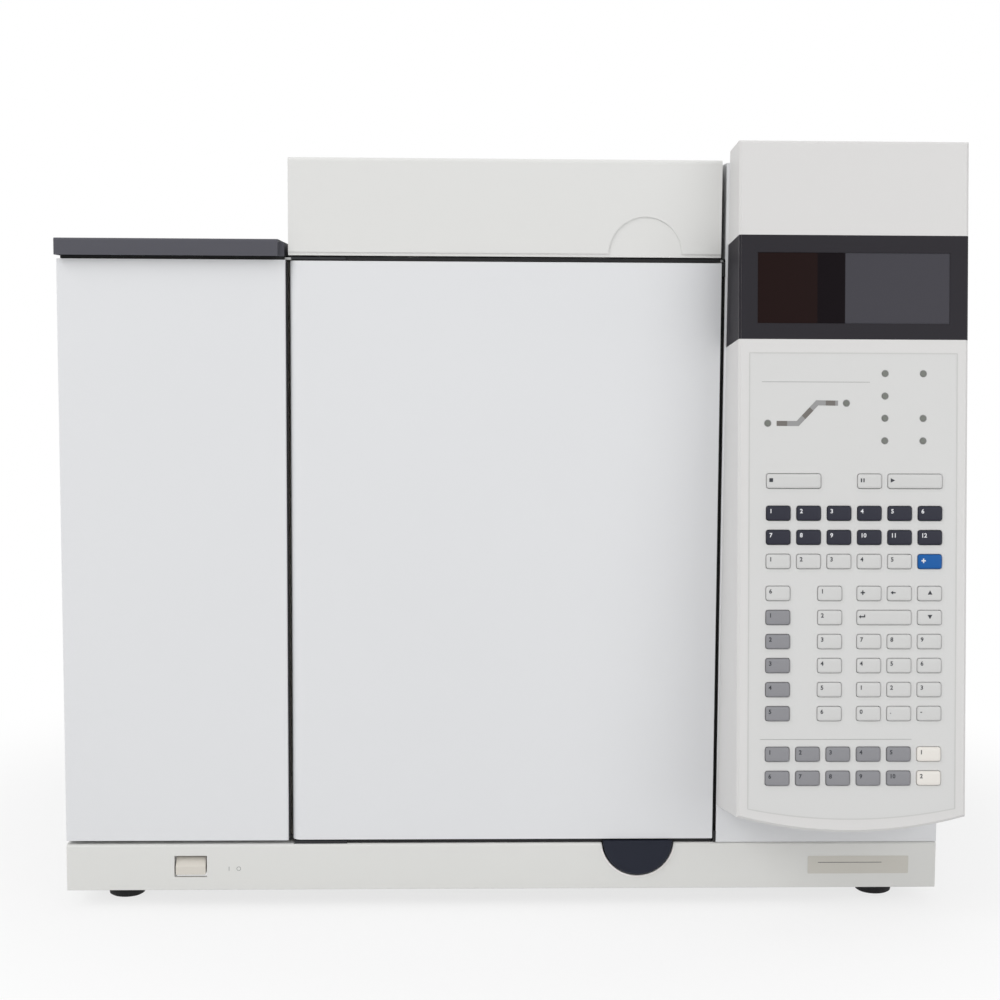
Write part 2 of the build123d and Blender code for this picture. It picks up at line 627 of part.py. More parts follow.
with BuildPart() as cover_hinges:
    for lug_xs, axis_z in ((cover_lug_xs, cover_axis_z), (lid_lug_xs, lid_axis_z)):
        for lug_x in lug_xs:
            block(lug_x, lug_x + lug_width, cover_axis_y - lug_half_height, rear_cover_y,
                  axis_z - lug_half_height, axis_z + lug_half_height)
            rod(lug_x - knuckle_width / 2, cover_axis_y, axis_z, pin_small,
                knuckle_width + lug_width, "X")

with BuildPart() as rear_top_cover:
    block(left_x, cover_left_x + 10.0, rear_cover_y, rear_y, deck_top_z, lid_top_z)
    block(cover_left_x, cover_right_x, rear_cover_y, rear_y, deck_top_z, cover_top_z)
    fillet(rear_top_cover.edges().filter_by(Axis.Y).sort_by(Axis.Z)[-2:], 2.0)
    block(left_x + sheet, cover_left_x + 10.0, rear_cover_y + sheet, rear_y - sheet,
          deck_top_z, lid_top_z - sheet, mode=Mode.SUBTRACT)
    block(cover_left_x + sheet, cover_right_x - sheet, rear_cover_y + sheet, rear_y - sheet,
          deck_top_z, cover_top_z - sheet, mode=Mode.SUBTRACT)
    with BuildSketch(Plane.XY.offset(cover_top_z)):
        with Locations((0, (rear_cover_y + rear_y) / 2)):
            with GridLocations(12.0, 0, 16, 1):
                SlotOverall(100.0, 4.0, rotation=90)
    extrude(amount=-sheet, mode=Mode.SUBTRACT)

# ---- console cabinet ----------------------------------------------------------------
with BuildPart() as electronics_cover:
    block(console_left_x, right_x, front_y + sheet, rear_y, base_top_z, console_top_z)
    block(console_left_x + sheet, right_x - sheet, front_y + sheet, rear_y,
          base_top_z, console_top_z - sheet, mode=Mode.SUBTRACT)
    block(console_left_x, console_left_x + sheet, front_y + sheet, rear_y,
          base_top_z, deck_top_z + 0.3, mode=Mode.SUBTRACT)
    with BuildSketch(Plane.YZ.offset(right_x)):
        with Locations((60.0, 330.0), (60.0, 120.0)):
            with GridLocations(0, 14.0, 1, 8):
                SlotOverall(160.0, 5.0)
    extrude(amount=-sheet, mode=Mode.SUBTRACT)

cable_slot = 40.0
with BuildPart() as console_front_plate:
    block(console_left_x, right_x, front_y, front_y + sheet, base_top_z + 0.3, console_top_z)
    block(console_centre_x - cable_slot / 2, console_centre_x + cable_slot / 2,
          front_y, front_y + sheet, 200.0, 200.0 + cable_slot, mode=Mode.SUBTRACT)

partition_x = oven_right_x + insulation + 0.5
with BuildPart() as console_partition:
    block(partition_x, partition_x + sheet, front_y + sheet, rear_y - sheet,
          base_top_z, console_top_z - sheet)

# Console bezel: a moulded shell that leans back, with a curved lower edge.
def face_panel(half_width, top, side_bottom, sagitta):
    """Outline on the console's face: square top, arc at the foot, in the active line."""
    Polyline((-half_width, -side_bottom), (-half_width, -top), (half_width, -top), (half_width, -side_bottom))
    ThreePointArc((half_width, -side_bottom), (0, -side_bottom - sagitta), (-half_width, -side_bottom))


bezel_half = face_width / 2
bezel_reach = 90.0
band_middle = (band_top + band_bottom) / 2

# Dark band let into the bezel's face and both of its sides.
with BuildPart() as display_band:
    with BuildSketch(face):
        with Locations((0, -band_middle)):
            Rectangle(face_width, band_bottom - band_top)
    extrude(amount=-band_thickness)
    for side, fall in ((-1, inward_left), (1, inward)):
        with BuildSketch(face):
            with Locations((side * (bezel_half - band_thickness / 2), -band_middle)):
                Rectangle(band_thickness, band_bottom - band_top)
        extrude(amount=bezel_reach, dir=fall)
    split(bisect_by=Plane.XZ.offset(-front_y), keep=Keep.TOP)
    for side in (-1, 1):
        with BuildSketch(Plane(face.origin, x_dir=face.x_dir, z_dir=-face.y_dir)):
            with BuildLine():
                Polyline(
                    (side * bezel_half, bezel_edge), (side * (bezel_half - bezel_edge), 0),
                    (side * bezel_half, -bezel_edge), (side * (bezel_half + bezel_edge), 0),
                    close=True,
                )
            make_face()
        extrude(amount=bezel_side_length, mode=Mode.SUBTRACT)
    with BuildSketch(face):
        with Locations((0, -window_top - window_height / 2)):
            Rectangle(window_width, window_height)
    extrude(amount=-band_thickness, mode=Mode.SUBTRACT)

with BuildPart() as console_bezel:
    with BuildSketch(face):
        with BuildLine():
            face_panel(bezel_half, 0, bezel_side_length, bezel_arc_sagitta)
        make_face()
    extrude(amount=bezel_reach, dir=inward)
    with BuildSketch(face):
        with Locations((-bezel_half + bezel_wall / 2, -bezel_side_length / 2)):
            Rectangle(bezel_wall, bezel_side_length)
    extrude(amount=bezel_reach, dir=inward_left)
    rim = console_bezel.faces().sort_by(Axis.Y)[0].edges()
    chamfer(rim, bezel_edge)
    with BuildSketch(face.offset(-bezel_wall)):
        with BuildLine():
            face_panel(bezel_half - bezel_wall, bezel_wall, bezel_side_length - bezel_wall * 0.6,
                       bezel_arc_sagitta - bezel_wall * 0.4)
        make_face()
    extrude(amount=bezel_reach, dir=inward, mode=Mode.SUBTRACT)
    split(bisect_by=Plane.XZ.offset(-front_y), keep=Keep.TOP)
    add(display_band.part, mode=Mode.SUBTRACT)
    # display window and the seat of the keypad overlay
    with BuildSketch(face):
        with Locations((0, -window_top - window_height / 2)):
            Rectangle(window_width, window_height)
        with BuildLine():
            face_panel(overlay_width / 2, overlay_top, overlay_side_bottom, overlay_sagitta)
        make_face()
    extrude(amount=-2 * bezel_wall, mode=Mode.SUBTRACT)
    # rails that carry the front board
    board_front = overlay_thickness + key_back_gap + key_flange + key_travel + 0.4
    with BuildSketch(face.offset(-bezel_wall)):
        for rail_x in (-(overlay_width / 2 + 1.7), overlay_width / 2 + 1.7):
            with Locations((rail_x, -(overlay_top + overlay_side_bottom) / 2)):
                Rectangle(2.4, overlay_side_bottom - overlay_top - 20.0)
    extrude(amount=-(board_front - bezel_wall))

lens_inset = 0.4
with BuildPart() as display_lens:
    with BuildSketch(face.offset(-lens_inset)):
        with Locations((0, -window_top - window_height / 2)):
            Rectangle(window_width - 0.2, window_height - 0.2)
    extrude(amount=-lens_thickness)

screen_front = lens_inset + lens_thickness + 0.3
with BuildPart() as front_board:
    with BuildSketch(face.offset(-board_front)):
        with Locations((0, -(window_top + overlay_side_bottom) / 2 + 4.0)):
            Rectangle(overlay_width + 5.6, overlay_side_bottom - window_top + 4.0)
    extrude(amount=-board_thickness)
    with BuildSketch(face.offset(-screen_front)):
        with Locations((0, -window_top - window_height / 2)):
            Rectangle(window_width - 0.6, window_height - 0.6)
    extrude(amount=-(board_front - screen_front))

# ---- keys and lamps -----------------------------------------------------------------
key_wide = key_width + key_pitch
column_x = [0.8 + (column - 2.5) * key_pitch for column in range(6)]
edit_rows = [edit_row + row * row_pitch for row in range(6)]
small = key_width
run_places = [
    ((column_x[0] + column_x[1]) / 2, first_row, key_wide),
    (column_x[3], first_row, small),
    ((column_x[4] + column_x[5]) / 2, first_row, key_wide),
]
component_places = [(x, component_row + row * row_pitch, small) for row in range(2) for x in column_x]
table_places = [(x, table_row, small) for x in column_x[:5]] + [(column_x[0], edit_rows[0], small)]
service_places = [(column_x[5], table_row, small)]
function_places = [(column_x[0], drop, small) for drop in edit_rows[1:]]
mode_places = [(mode_column_x, drop, small) for drop in edit_rows]
edit_places = [
    (column_x[3], edit_rows[0], small),
    (column_x[4], edit_rows[0], small),
    (column_x[5], edit_rows[0], small),
    ((column_x[3] + column_x[4]) / 2, edit_rows[1], key_wide),
    (column_x[5], edit_rows[1], small),
]
digit_places = [(x, drop, small) for drop in edit_rows[2:] for x in column_x[3:]]
method_places = [(x, method_row + row * row_pitch, small) for row in range(2) for x in column_x[:5]]
user_places = [(column_x[5], method_row + row * row_pitch, small) for row in range(2)]
all_places = (
    run_places + component_places + table_places + service_places + function_places
    + mode_places + edit_places + digit_places + method_places + user_places
)
lamp_places = [
    (20.0, 146.4), (44.3, 146.4), (20.0, 160.6), (20.0, 174.6), (44.3, 174.6),
    (20.0, 188.8), (44.3, 188.8), (-54.3, 178.0), (-4.5, 165.2),
]


def key_set(places):
    """Keys at (x, distance down the face, width), each with a captive flange."""
    with BuildPart() as keys:
        for x, drop, wide in places:
            with BuildSketch(face.offset(-overlay_thickness - key_back_gap - key_flange)):
                with Locations((x, -drop)):
                    Rectangle(wide + 2 * key_gap + 1.8, key_height + 2 * key_gap + 1.8)
            extrude(amount=key_flange)
            with BuildSketch(face.offset(-overlay_thickness - key_back_gap)):
                with Locations((x, -drop)):
                    Rectangle(wide, key_height)
            extrude(amount=overlay_thickness + key_back_gap + key_proud)
    return keys


with BuildPart() as keypad_overlay:
    with BuildSketch(face):
        with BuildLine():
            face_panel(overlay_width / 2 - 0.2, overlay_top + 0.2, overlay_side_bottom - 0.2, overlay_sagitta)
        make_face()
        for x, drop, wide in all_places:
            with Locations((x, -drop)):
                Rectangle(wide + 2 * key_gap, key_height + 2 * key_gap, mode=Mode.SUBTRACT)
        for x, drop in lamp_places:
            with Locations((x, -drop)):
                Circle(led_radius + 0.05, mode=Mode.SUBTRACT)
    extrude(amount=-overlay_thickness)

with BuildPart() as status_lamps:
    with BuildSketch(face.offset(-board_front)):
        for x, drop in lamp_places:
            with Locations((x, -drop)):
                Circle(led_radius)
    extrude(amount=board_front + 0.3)

run_keys = key_set(run_places)
component_keys = key_set(component_places)
table_keys = key_set(table_places)
service_key = key_set(service_places)
function_keys = key_set(function_places)
mode_keys = key_set(mode_places)
edit_keys = key_set(edit_places)
digit_keys = key_set(digit_places)
method_keys = key_set(method_places)
user_keys = key_set(user_places)

# ---- inside the console and on the back ---------------------------------------------
supply_size = (70.0, 140.0, 80.0)
with BuildPart() as power_supply:
    with Locations((right_x - 50.0, 110.0, base_top_z)):
        Box(*supply_size, align=(Align.CENTER, Align.CENTER, Align.MIN))
    with BuildSketch(Plane.XY.offset(base_top_z + supply_size[2])):
        with Locations((right_x - 50.0, 110.0)):
            with GridLocations(0, 10.0, 1, 10):
                SlotOverall(50.0, 4.0)
    extrude(amount=-2.0, mode=Mode.SUBTRACT)

socket_zs = [180.0, 216.0, 252.0, 288.0]
socket_x = partition_x + 16.0
socket_width = 12.0
socket_height = 30.0
board_x = partition_x + sheet + 5.0
with BuildPart() as main_board:
    block(board_x, board_x + board_thickness, -150.0, 225.0, 90.0, 400.0)
    for chip_y, chip_z in ((-100.0, 330.0), (-20.0, 330.0), (-60.0, 220.0), (60.0, 260.0), (120.0, 160.0)):
        block(board_x + board_thickness, board_x + board_thickness + 4.0, chip_y - 16.0, chip_y + 16.0,
              chip_z - 16.0, chip_z + 16.0)
    for post_y in (-140.0, 210.0):
        for post_z in (100.0, 390.0):
            rod(partition_x + sheet, post_y, post_z, 3.0, 5.0, "X")
    for socket_z in socket_zs:
        block(board_x + board_thickness, socket_x + socket_width / 2, 210.0, rear_y + 6.0,
              socket_z - socket_height / 2, socket_z + socket_height / 2)

fan_x = right_x - 52.0
fan_z = 340.0
fan_square = 80.0
fan_depth = 25.0
fan_bore = 38.0
blower_radius = 37.0
fan_back_y = rear_y - sheet
with BuildPart() as fan_frame:
    block(fan_x - fan_square / 2, fan_x + fan_square / 2, fan_back_y - fan_depth, fan_back_y,
          fan_z - fan_square / 2, fan_z + fan_square / 2)
    rod(fan_x, fan_back_y - fan_depth, fan_z, fan_bore, fan_depth, "Y", Mode.SUBTRACT)
    rod(fan_x, fan_back_y - 4.0, fan_z, 16.0, 4.0, "Y")
    for strut_turn in (0, 90):
        with Locations(Location((fan_x, fan_back_y - 1.5, fan_z), (0, 45 + strut_turn, 0))):
            Box(2 * fan_bore + 2.0, 3.0, 4.0)
    rod(fan_x, fan_back_y - 4.0, fan_z, pin_small + running_fit, 3.0, "Y", Mode.SUBTRACT)

with BuildPart() as cooling_fan:
    rod(fan_x, fan_back_y - fan_depth + 2.0, fan_z, 16.0, fan_depth - 6.4, "Y")
    blower_plane = Plane(origin=(fan_x, fan_back_y - 5.5, fan_z), x_dir=(1, 0, 0), z_dir=(0, -1, 0))
    with BuildSketch(blower_plane):
        with PolarLocations((16.0 + blower_radius) / 2 - 1.0, 7):
            Rectangle(blower_radius - 16.0 + 1.0, 3.0, rotation=20)
        Circle(blower_radius, mode=Mode.INTERSECT)
    extrude(amount=fan_depth - 9.0)
    rod(fan_x, fan_back_y - 4.4, fan_z, pin_small, 3.0, "Y")

inlet_centre = (right_x - 54.0, 90.0)
inlet_half = (24.0, 14.0)
socket_recess = (15.0, 9.0, 18.0)
with BuildPart() as power_inlet:
    inlet_cx, inlet_cz = inlet_centre
    block(inlet_cx - inlet_half[0], inlet_cx + inlet_half[0], rear_y - 30.0, rear_y + 3.0,
          inlet_cz - inlet_half[1], inlet_cz + inlet_half[1])
    block(inlet_cx - inlet_half[0] - 5.0, inlet_cx + inlet_half[0] + 5.0, rear_y, rear_y + 3.0,
          inlet_cz - inlet_half[1] - 3.0, inlet_cz + inlet_half[1] + 3.0)
    block(inlet_cx - socket_recess[0], inlet_cx + socket_recess[0],
          rear_y + 3.0 - socket_recess[2], rear_y + 3.0,
          inlet_cz - socket_recess[1], inlet_cz + socket_recess[1], mode=Mode.SUBTRACT)
    for blade_x in (-9.0, 0, 9.0):
        block(inlet_cx + blade_x - 1.0, inlet_cx + blade_x + 1.0,
              rear_y + 3.0 - socket_recess[2], rear_y - 1.0,
              inlet_cz - 4.0, inlet_cz + 2.0)

fitting_xs = [-250.0, -222.0, -194.0]
fitting_z = 372.0
fitting_bore = 1.65
fitting_bore_depth = 12.0
with BuildPart() as gas_fittings:
    for fitting_x in fitting_xs:
        with BuildSketch(Plane.XZ.offset(-rear_y)):
            with Locations((fitting_x, fitting_z)):
                RegularPolygon(8.0, 6)
        extrude(amount=-8.0)
        rod(fitting_x, rear_y - 18.0, fitting_z, 4.8, 36.0, "Y")
        rod(fitting_x, rear_y + 18.0 - fitting_bore_depth, fitting_z, fitting_bore,
            fitting_bore_depth, "Y", Mode.SUBTRACT)

duct_wall = 1.5
flap_y = 224.0
flap_pin_radius = 1.5
flap_pin_drop = 2.4
with BuildPart() as vent_ducts:
    for vent_z in (exhaust_z, intake_z):
        block(oven_centre_x - vent_width / 2 - duct_wall, oven_centre_x + vent_width / 2 + duct_wall,
              insulation_back_y, vent_reach_y,
              vent_z - vent_height / 2 - duct_wall, vent_z + vent_height / 2 + duct_wall)
        block(oven_centre_x - vent_width / 2, oven_centre_x + vent_width / 2,
              insulation_back_y, vent_reach_y,
              vent_z - vent_height / 2, vent_z + vent_height / 2, mode=Mode.SUBTRACT)
        rod(oven_centre_x - vent_width / 2 - duct_wall, flap_y, vent_z + vent_height / 2 - flap_pin_drop,
            flap_pin_radius + running_fit, vent_width + 2 * duct_wall, "X", Mode.SUBTRACT)
        with BuildSketch(Plane.YZ.offset(oven_centre_x - vent_width)):
            with BuildLine():
                Polyline(
                    (vent_reach_y, vent_z + vent_height / 2 - 3.0),
                    (vent_reach_y, vent_z - vent_height / 2 - 2.0),
                    (vent_reach_y - 18.0, vent_z - vent_height / 2 - 2.0),
                    close=True,
                )
            make_face()
        extrude(amount=2 * vent_width, mode=Mode.SUBTRACT)


def vent_flap(vent_z):
    """Plate that hangs in a duct from a cross pin under the duct's roof."""
    pin_z = vent_z + vent_height / 2 - flap_pin_drop
    with BuildPart() as flap:
        block(oven_centre_x - vent_width / 2 + moving_gap, oven_centre_x + vent_width / 2 - moving_gap,
              flap_y - 0.6, flap_y + 0.6, vent_z - vent_height / 2 + moving_gap, pin_z)
        rod(oven_centre_x - vent_width / 2 - duct_wall, flap_y, pin_z, flap_pin_radius,
            vent_width + 2 * duct_wall, "X")
    return flap


exhaust_flap = vent_flap(exhaust_z)
intake_flap = vent_flap(intake_z)

with BuildPart() as rear_panel:
    block(left_x, console_left_x + 3 * sheet, rear_y - sheet, rear_y, base_top_z + 0.3, deck_top_z - 0.3)
    block(console_left_x + sheet + 0.3, right_x - sheet - 0.3, rear_y - sheet, rear_y, base_top_z + 0.3,
          console_top_z - sheet - 0.3)
    for vent_z in (exhaust_z, intake_z):
        duct_reach = vent_width / 2 + duct_wall + 0.3
        block(oven_centre_x - duct_reach, oven_centre_x + duct_reach,
              rear_y - sheet, rear_y, vent_z - vent_height / 2 - duct_wall - 0.3,
              vent_z + vent_height / 2 + duct_wall + 0.3, mode=Mode.SUBTRACT)
    for socket_z in socket_zs:
        block(board_x + board_thickness - 0.5, socket_x + socket_width / 2 + 0.5, rear_y - sheet, rear_y,
              socket_z - socket_height / 2 - 0.5, socket_z + socket_height / 2 + 0.5, mode=Mode.SUBTRACT)
    block(inlet_cx - inlet_half[0] - 0.2, inlet_cx + inlet_half[0] + 0.2, rear_y - sheet, rear_y,
          inlet_cz - inlet_half[1] - 0.2, inlet_cz + inlet_half[1] + 0.2, mode=Mode.SUBTRACT)
    for fitting_x in fitting_xs:
        rod(fitting_x, rear_y - sheet, fitting_z, 5.0, sheet, "Y", Mode.SUBTRACT)
    with BuildSketch(Plane.XZ.offset(-rear_y)):
        with Locations((fan_x, fan_z)):
            with GridLocations(0, 9.0, 1, 7):
                SlotOverall(54.0, 4.0)
    extrude(amount=sheet, mode=Mode.SUBTRACT)

screw_head_radius = 3.4
screw_head = 2.0
with BuildPart() as panel_screws:
    for screw_x in (left_x + 12.0, -150.0, 120.0, right_x - 14.0):
        for screw_z in (base_top_z + 14.0, 235.0, deck_top_z - 14.0):
            rod(screw_x, rear_y, screw_z, screw_head_radius, screw_head, "Y")

pieces = {
    "base_pan": base_pan,
    "rubber_feet": rubber_feet,
    "power_rocker": power_rocker,
    "release_paddle": release_paddle,
    "latch_bracket": latch_bracket,
    "latch_catch": latch_catch,
    "oven_liner": oven_liner,
    "oven_insulation": oven_insulation,
    "fan_shroud": fan_shroud,
    "oven_fan": oven_fan,
    "oven_motor": oven_motor,
    "heater_coil": heater_coil,
    "capillary_column": capillary_column,
    "column_hanger": column_hanger,
    "oven_door_shell": oven_door_shell,
    "oven_door_core": oven_door_core,
    "oven_door_seal": oven_door_seal,
    "door_hinges": door_hinges,
    "left_front_panel": left_front_panel,
    "left_side_panel": left_side_panel,
    "top_deck": top_deck,
    "epc_modules": epc_modules,
    "inlets": inlets,
    "inlet_septum_nuts": inlet_septum_nuts,
    "detectors": detectors,
    "detector_collectors": detector_collectors,
    "top_cover": top_cover,
    "left_lid": left_lid,
    "cover_hinges": cover_hinges,
    "rear_top_cover": rear_top_cover,
    "electronics_cover": electronics_cover,
    "console_front_plate": console_front_plate,
    "console_partition": console_partition,
    "console_bezel": console_bezel,
    "display_band": display_band,
    "display_lens": display_lens,
    "front_board": front_board,
    "keypad_overlay": keypad_overlay,
    "status_lamps": status_lamps,
    "run_keys": run_keys,
    "component_keys": component_keys,
    "table_keys": table_keys,
    "service_key": service_key,
    "function_keys": function_keys,
    "mode_keys": mode_keys,
    "edit_keys": edit_keys,
    "digit_keys": digit_keys,
    "method_keys": method_keys,
    "user_keys": user_keys,
    "power_supply": power_supply,
    "main_board": main_board,
    "fan_frame": fan_frame,
    "cooling_fan": cooling_fan,
    "power_inlet": power_inlet,
    "gas_fittings": gas_fittings,
    "vent_ducts": vent_ducts,
    "exhaust_flap": exhaust_flap,
    "intake_flap": intake_flap,
    "rear_panel": rear_panel,
    "panel_screws": panel_screws,
}
for label, piece in pieces.items():
    piece.part.label = label
    export_step(piece.part, f"parts/{label}.step")
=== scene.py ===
import math
import random

import bmesh
import bpy
from mathutils import Matrix, Vector


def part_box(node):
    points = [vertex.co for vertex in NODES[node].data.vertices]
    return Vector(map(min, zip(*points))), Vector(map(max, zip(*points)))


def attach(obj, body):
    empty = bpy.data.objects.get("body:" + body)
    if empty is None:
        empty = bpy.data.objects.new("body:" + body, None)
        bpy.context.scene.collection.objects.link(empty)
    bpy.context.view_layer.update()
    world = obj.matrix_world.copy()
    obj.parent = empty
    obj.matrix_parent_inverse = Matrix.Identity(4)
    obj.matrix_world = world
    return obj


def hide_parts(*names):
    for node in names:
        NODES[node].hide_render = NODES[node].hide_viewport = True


# The looks of a bench-top gas chromatograph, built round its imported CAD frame.
# Blender works in metres. Sizes below are millimetres and go through MM.
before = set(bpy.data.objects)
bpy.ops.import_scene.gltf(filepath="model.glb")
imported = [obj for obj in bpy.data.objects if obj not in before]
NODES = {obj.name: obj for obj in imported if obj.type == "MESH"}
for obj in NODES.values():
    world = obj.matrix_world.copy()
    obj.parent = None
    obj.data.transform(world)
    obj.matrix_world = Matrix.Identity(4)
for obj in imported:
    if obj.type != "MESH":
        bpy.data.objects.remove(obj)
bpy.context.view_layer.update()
MM = 0.001


# ---- the console's leaning face -----------------------------------------------------
FACE_TILT = math.radians(4.85)
FACE_TOP_Z = 503.7
FACE_FOOT_Z = 68.7
FACE_FOOT_Y = -270.0
CONSOLE_CENTRE_X = 217.2
FACE_TOP_Y = FACE_FOOT_Y + (FACE_TOP_Z - FACE_FOOT_Z) * math.tan(FACE_TILT)
FACE_RIGHT = Vector((1, 0, 0))
FACE_UP = Vector((0, math.sin(FACE_TILT), math.cos(FACE_TILT)))
FACE_OUT = Vector((0, -math.cos(FACE_TILT), math.sin(FACE_TILT)))
FACE_ORIGIN = Vector((CONSOLE_CENTRE_X, FACE_TOP_Y, FACE_TOP_Z))

KEY_WIDTH = 15.7
KEY_HEIGHT = 9.7
KEY_PITCH = 19.27
ROW_PITCH = 15.2
CAP_PROUD = 1.6  # the domed caps stand this far off the face
CAP_ROOT = -3.0
CAP_WIDTH = 15.1
CAP_HEIGHT = 9.0
CAP_CORNER = 1.5
COLLAR_REACH = 1.9  # how far the film's lip reaches past a cap's outline
COLUMN_X = [0.8 + (column - 2.5) * KEY_PITCH for column in range(6)]
RUN_ROW = 214.4
COMPONENT_ROW = 234.7
TABLE_ROW = 265.1
EDIT_ROWS = [285.3 + row * ROW_PITCH for row in range(6)]
METHOD_ROWS = [387.0, 387.0 + ROW_PITCH]
MODE_X = -14.5
LAMP_PLACES = [(20.0, 146.4), (44.3, 146.4), (20.0, 160.6), (20.0, 174.6), (44.3, 174.6),
               (20.0, 188.8), (44.3, 188.8), (-54.3, 178.0), (-4.5, 165.2)]
BAND_TOP = 59.4
BAND_BOTTOM = 125.0
FACE_HALF = 72.8
FRONT_Y = -203.0  # plane of the door and the front panels
PRINT_LIFT = 0.06  # how far printed marks stand off what carries them


def face_matrix(x, drop, out=0.0):
    """Frame of a point on the console's face: x from its middle, drop from its top edge."""
    place = (FACE_ORIGIN + FACE_RIGHT * x - FACE_UP * drop + FACE_OUT * out) * MM
    turn = Matrix((FACE_RIGHT, FACE_UP, FACE_OUT)).transposed().to_4x4()
    return Matrix.Translation(place) @ turn


def upright_matrix(x, y, z):
    """Frame of a point on a face that looks along -Y."""
    turn = Matrix(((1, 0, 0), (0, 0, -1), (0, 1, 0))).to_4x4()
    return Matrix.Translation(Vector((x, y, z)) * MM) @ turn


# ---- materials ----------------------------------------------------------------------
def srgb(red, green, blue):
    """Linear colour of an 8-bit sRGB one."""
    def linear(value):
        value /= 255
        return value / 12.92 if value <= 0.04045 else ((value + 0.055) / 1.055) ** 2.4
    return (linear(red), linear(green), linear(blue), 1.0)


class Surface:
    """A procedural material: a colour that drifts a little, grain in its gloss, and fine bump."""

    def __init__(self, name, colour, rough, grain=900.0, drift=0.03, bump=0.02, metal=0.0, stretch=(1, 1, 1)):
        self.material = bpy.data.materials.new(name)
        self.material.use_nodes = True
        self.tree = self.material.node_tree
        self.shader = self.tree.nodes["Principled BSDF"]
        self.shader.inputs["Metallic"].default_value = metal
        coordinates = self.node("ShaderNodeTexCoord")
        mapping = self.node("ShaderNodeMapping")
        mapping.inputs["Scale"].default_value = stretch
        self.link(coordinates.outputs["Object"], mapping.inputs["Vector"])
        self.place = mapping.outputs["Vector"]
        broad = self.noise(6.0, 3.0)
        fine = self.noise(grain, 2.0)
        dark = tuple(c * (1 - drift) for c in colour[:3]) + (1.0,)
        light = tuple(min(1.0, c * (1 + drift)) for c in colour[:3]) + (1.0,)
        self.tint = self.mix(broad, dark, light)
        gloss = self.node("ShaderNodeMapRange")
        gloss.inputs["To Min"].default_value = max(0.02, rough - 0.06)
        gloss.inputs["To Max"].default_value = min(1.0, rough + 0.06)
        self.link(fine, gloss.inputs["Value"])
        self.link(gloss.outputs["Result"], self.shader.inputs["Roughness"])
        relief = self.node("ShaderNodeBump")
        relief.inputs["Strength"].default_value = min(1.0, bump * 10)
        relief.inputs["Distance"].default_value = bump * MM
        self.link(fine, relief.inputs["Height"])
        self.link(relief.outputs["Normal"], self.shader.inputs["Normal"])
        self.link(self.tint, self.shader.inputs["Base Color"])

    def node(self, kind):
        return self.tree.nodes.new(kind)

    def link(self, start, end):
        self.tree.links.new(start, end)

    def noise(self, scale, detail):
        noise = self.node("ShaderNodeTexNoise")
        noise.inputs["Scale"].default_value = scale
        noise.inputs["Detail"].default_value = detail
        self.link(self.place, noise.inputs["Vector"])
        return noise.outputs["Fac"]

    def mix(self, factor, first, second):
        """Colour between two others, each a colour or a socket."""
        mix = self.node("ShaderNodeMix")
        mix.data_type = "RGBA"
        sockets = [s for s in mix.inputs if s.type == "RGBA"]
        for socket, value in zip(sockets, (first, second)):
            if isinstance(value, bpy.types.NodeSocket):
                self.link(value, socket)
            else:
                socket.default_value = value
        self.link(factor, mix.inputs["Factor"])
        return next(s for s in mix.outputs if s.type == "RGBA")

    def recolour(self, socket):
        self.link(socket, self.shader.inputs["Base Color"])
        self.tint = socket

    def step(self, axis, edge, width=0.0002):
        """0 below a place along an object axis and 1 above it."""
        split = self.node("ShaderNodeSeparateXYZ")
        coordinates = self.node("ShaderNodeTexCoord")
        self.link(coordinates.outputs["Object"], split.inputs["Vector"])
        ramp = self.node("ShaderNodeMapRange")
        ramp.inputs["From Min"].default_value = edge - width
        ramp.inputs["From Max"].default_value = edge + width
        self.link(split.outputs[axis], ramp.inputs["Value"])
        return ramp.outputs["Result"]


def painted(name, colour, rough=0.42):
    """Powder-coated sheet: a light orange peel and a faint drift in tone."""
    surface = Surface(name, colour, rough, grain=1400.0, drift=0.012, bump=0.03)
    surface.shader.inputs["Coat Weight"].default_value = 0.08
    surface.shader.inputs["Coat Roughness"].default_value = 0.35
    return surface.material


def moulded(name, colour, rough=0.5, bump=0.05, specular=0.4):
    """Moulded plastic with a fine spark-eroded grain."""
    surface = Surface(name, colour, rough, grain=2600.0, drift=0.015, bump=bump)
    surface.shader.inputs["Specular IOR Level"].default_value = specular
    return surface.material


def metal(name, colour, rough=0.32, stretch=(1, 1, 1), grain=500.0):
    """Metal, brushed along the axis that stretch leaves small."""
    surface = Surface(name, colour, rough, grain=grain, drift=0.08, bump=0.015, metal=1.0, stretch=stretch)
    return surface.material


PANEL = painted("panel_cool_grey", srgb(224, 225, 227))
WARM_PANEL = painted("base_warm_grey", srgb(222, 222, 219))
COVER = painted("cover_warm_grey", srgb(222, 222, 220), 0.5)
BEZEL = moulded("bezel_moulding", srgb(217, 216, 215))
SWITCH = moulded("switch_warm", srgb(214, 209, 200))
OVERLAY = moulded("overlay_film", srgb(214, 214, 213), 0.55, 0.03)
# Slightly darker than the film: a painted shade line along the film's edge, drawn over the gap there.
FILM_SHADE_LINE = moulded("film_shade_line", srgb(203, 203, 201), 0.6, 0.01)
LID = moulded("lid_slate", srgb(82, 82, 89), 0.5, 0.05, 0.25)
BAND = moulded("band_slate", srgb(40, 38, 43), 0.5, 0.05, 0.15)
PADDLE = moulded("paddle_slate", srgb(36, 39, 50), 0.5, 0.05, 0.15)
KEY_DARK = moulded("key_slate", srgb(46, 47, 58), 0.5, 0.03, 0.2)
KEY_GREY = moulded("key_grey", srgb(142, 142, 146), 0.5, 0.03, 0.25)
KEY_LIGHT = moulded("key_light", srgb(208, 208, 207), 0.5, 0.03)
KEY_CREAM = moulded("key_cream", srgb(231, 227, 221), 0.5, 0.03)
KEY_BLUE = moulded("key_blue", srgb(10, 88, 160), 0.45, 0.03, 0.25)
LAMP = moulded("lamp_lens", srgb(112, 115, 109), 0.3, 0.01)
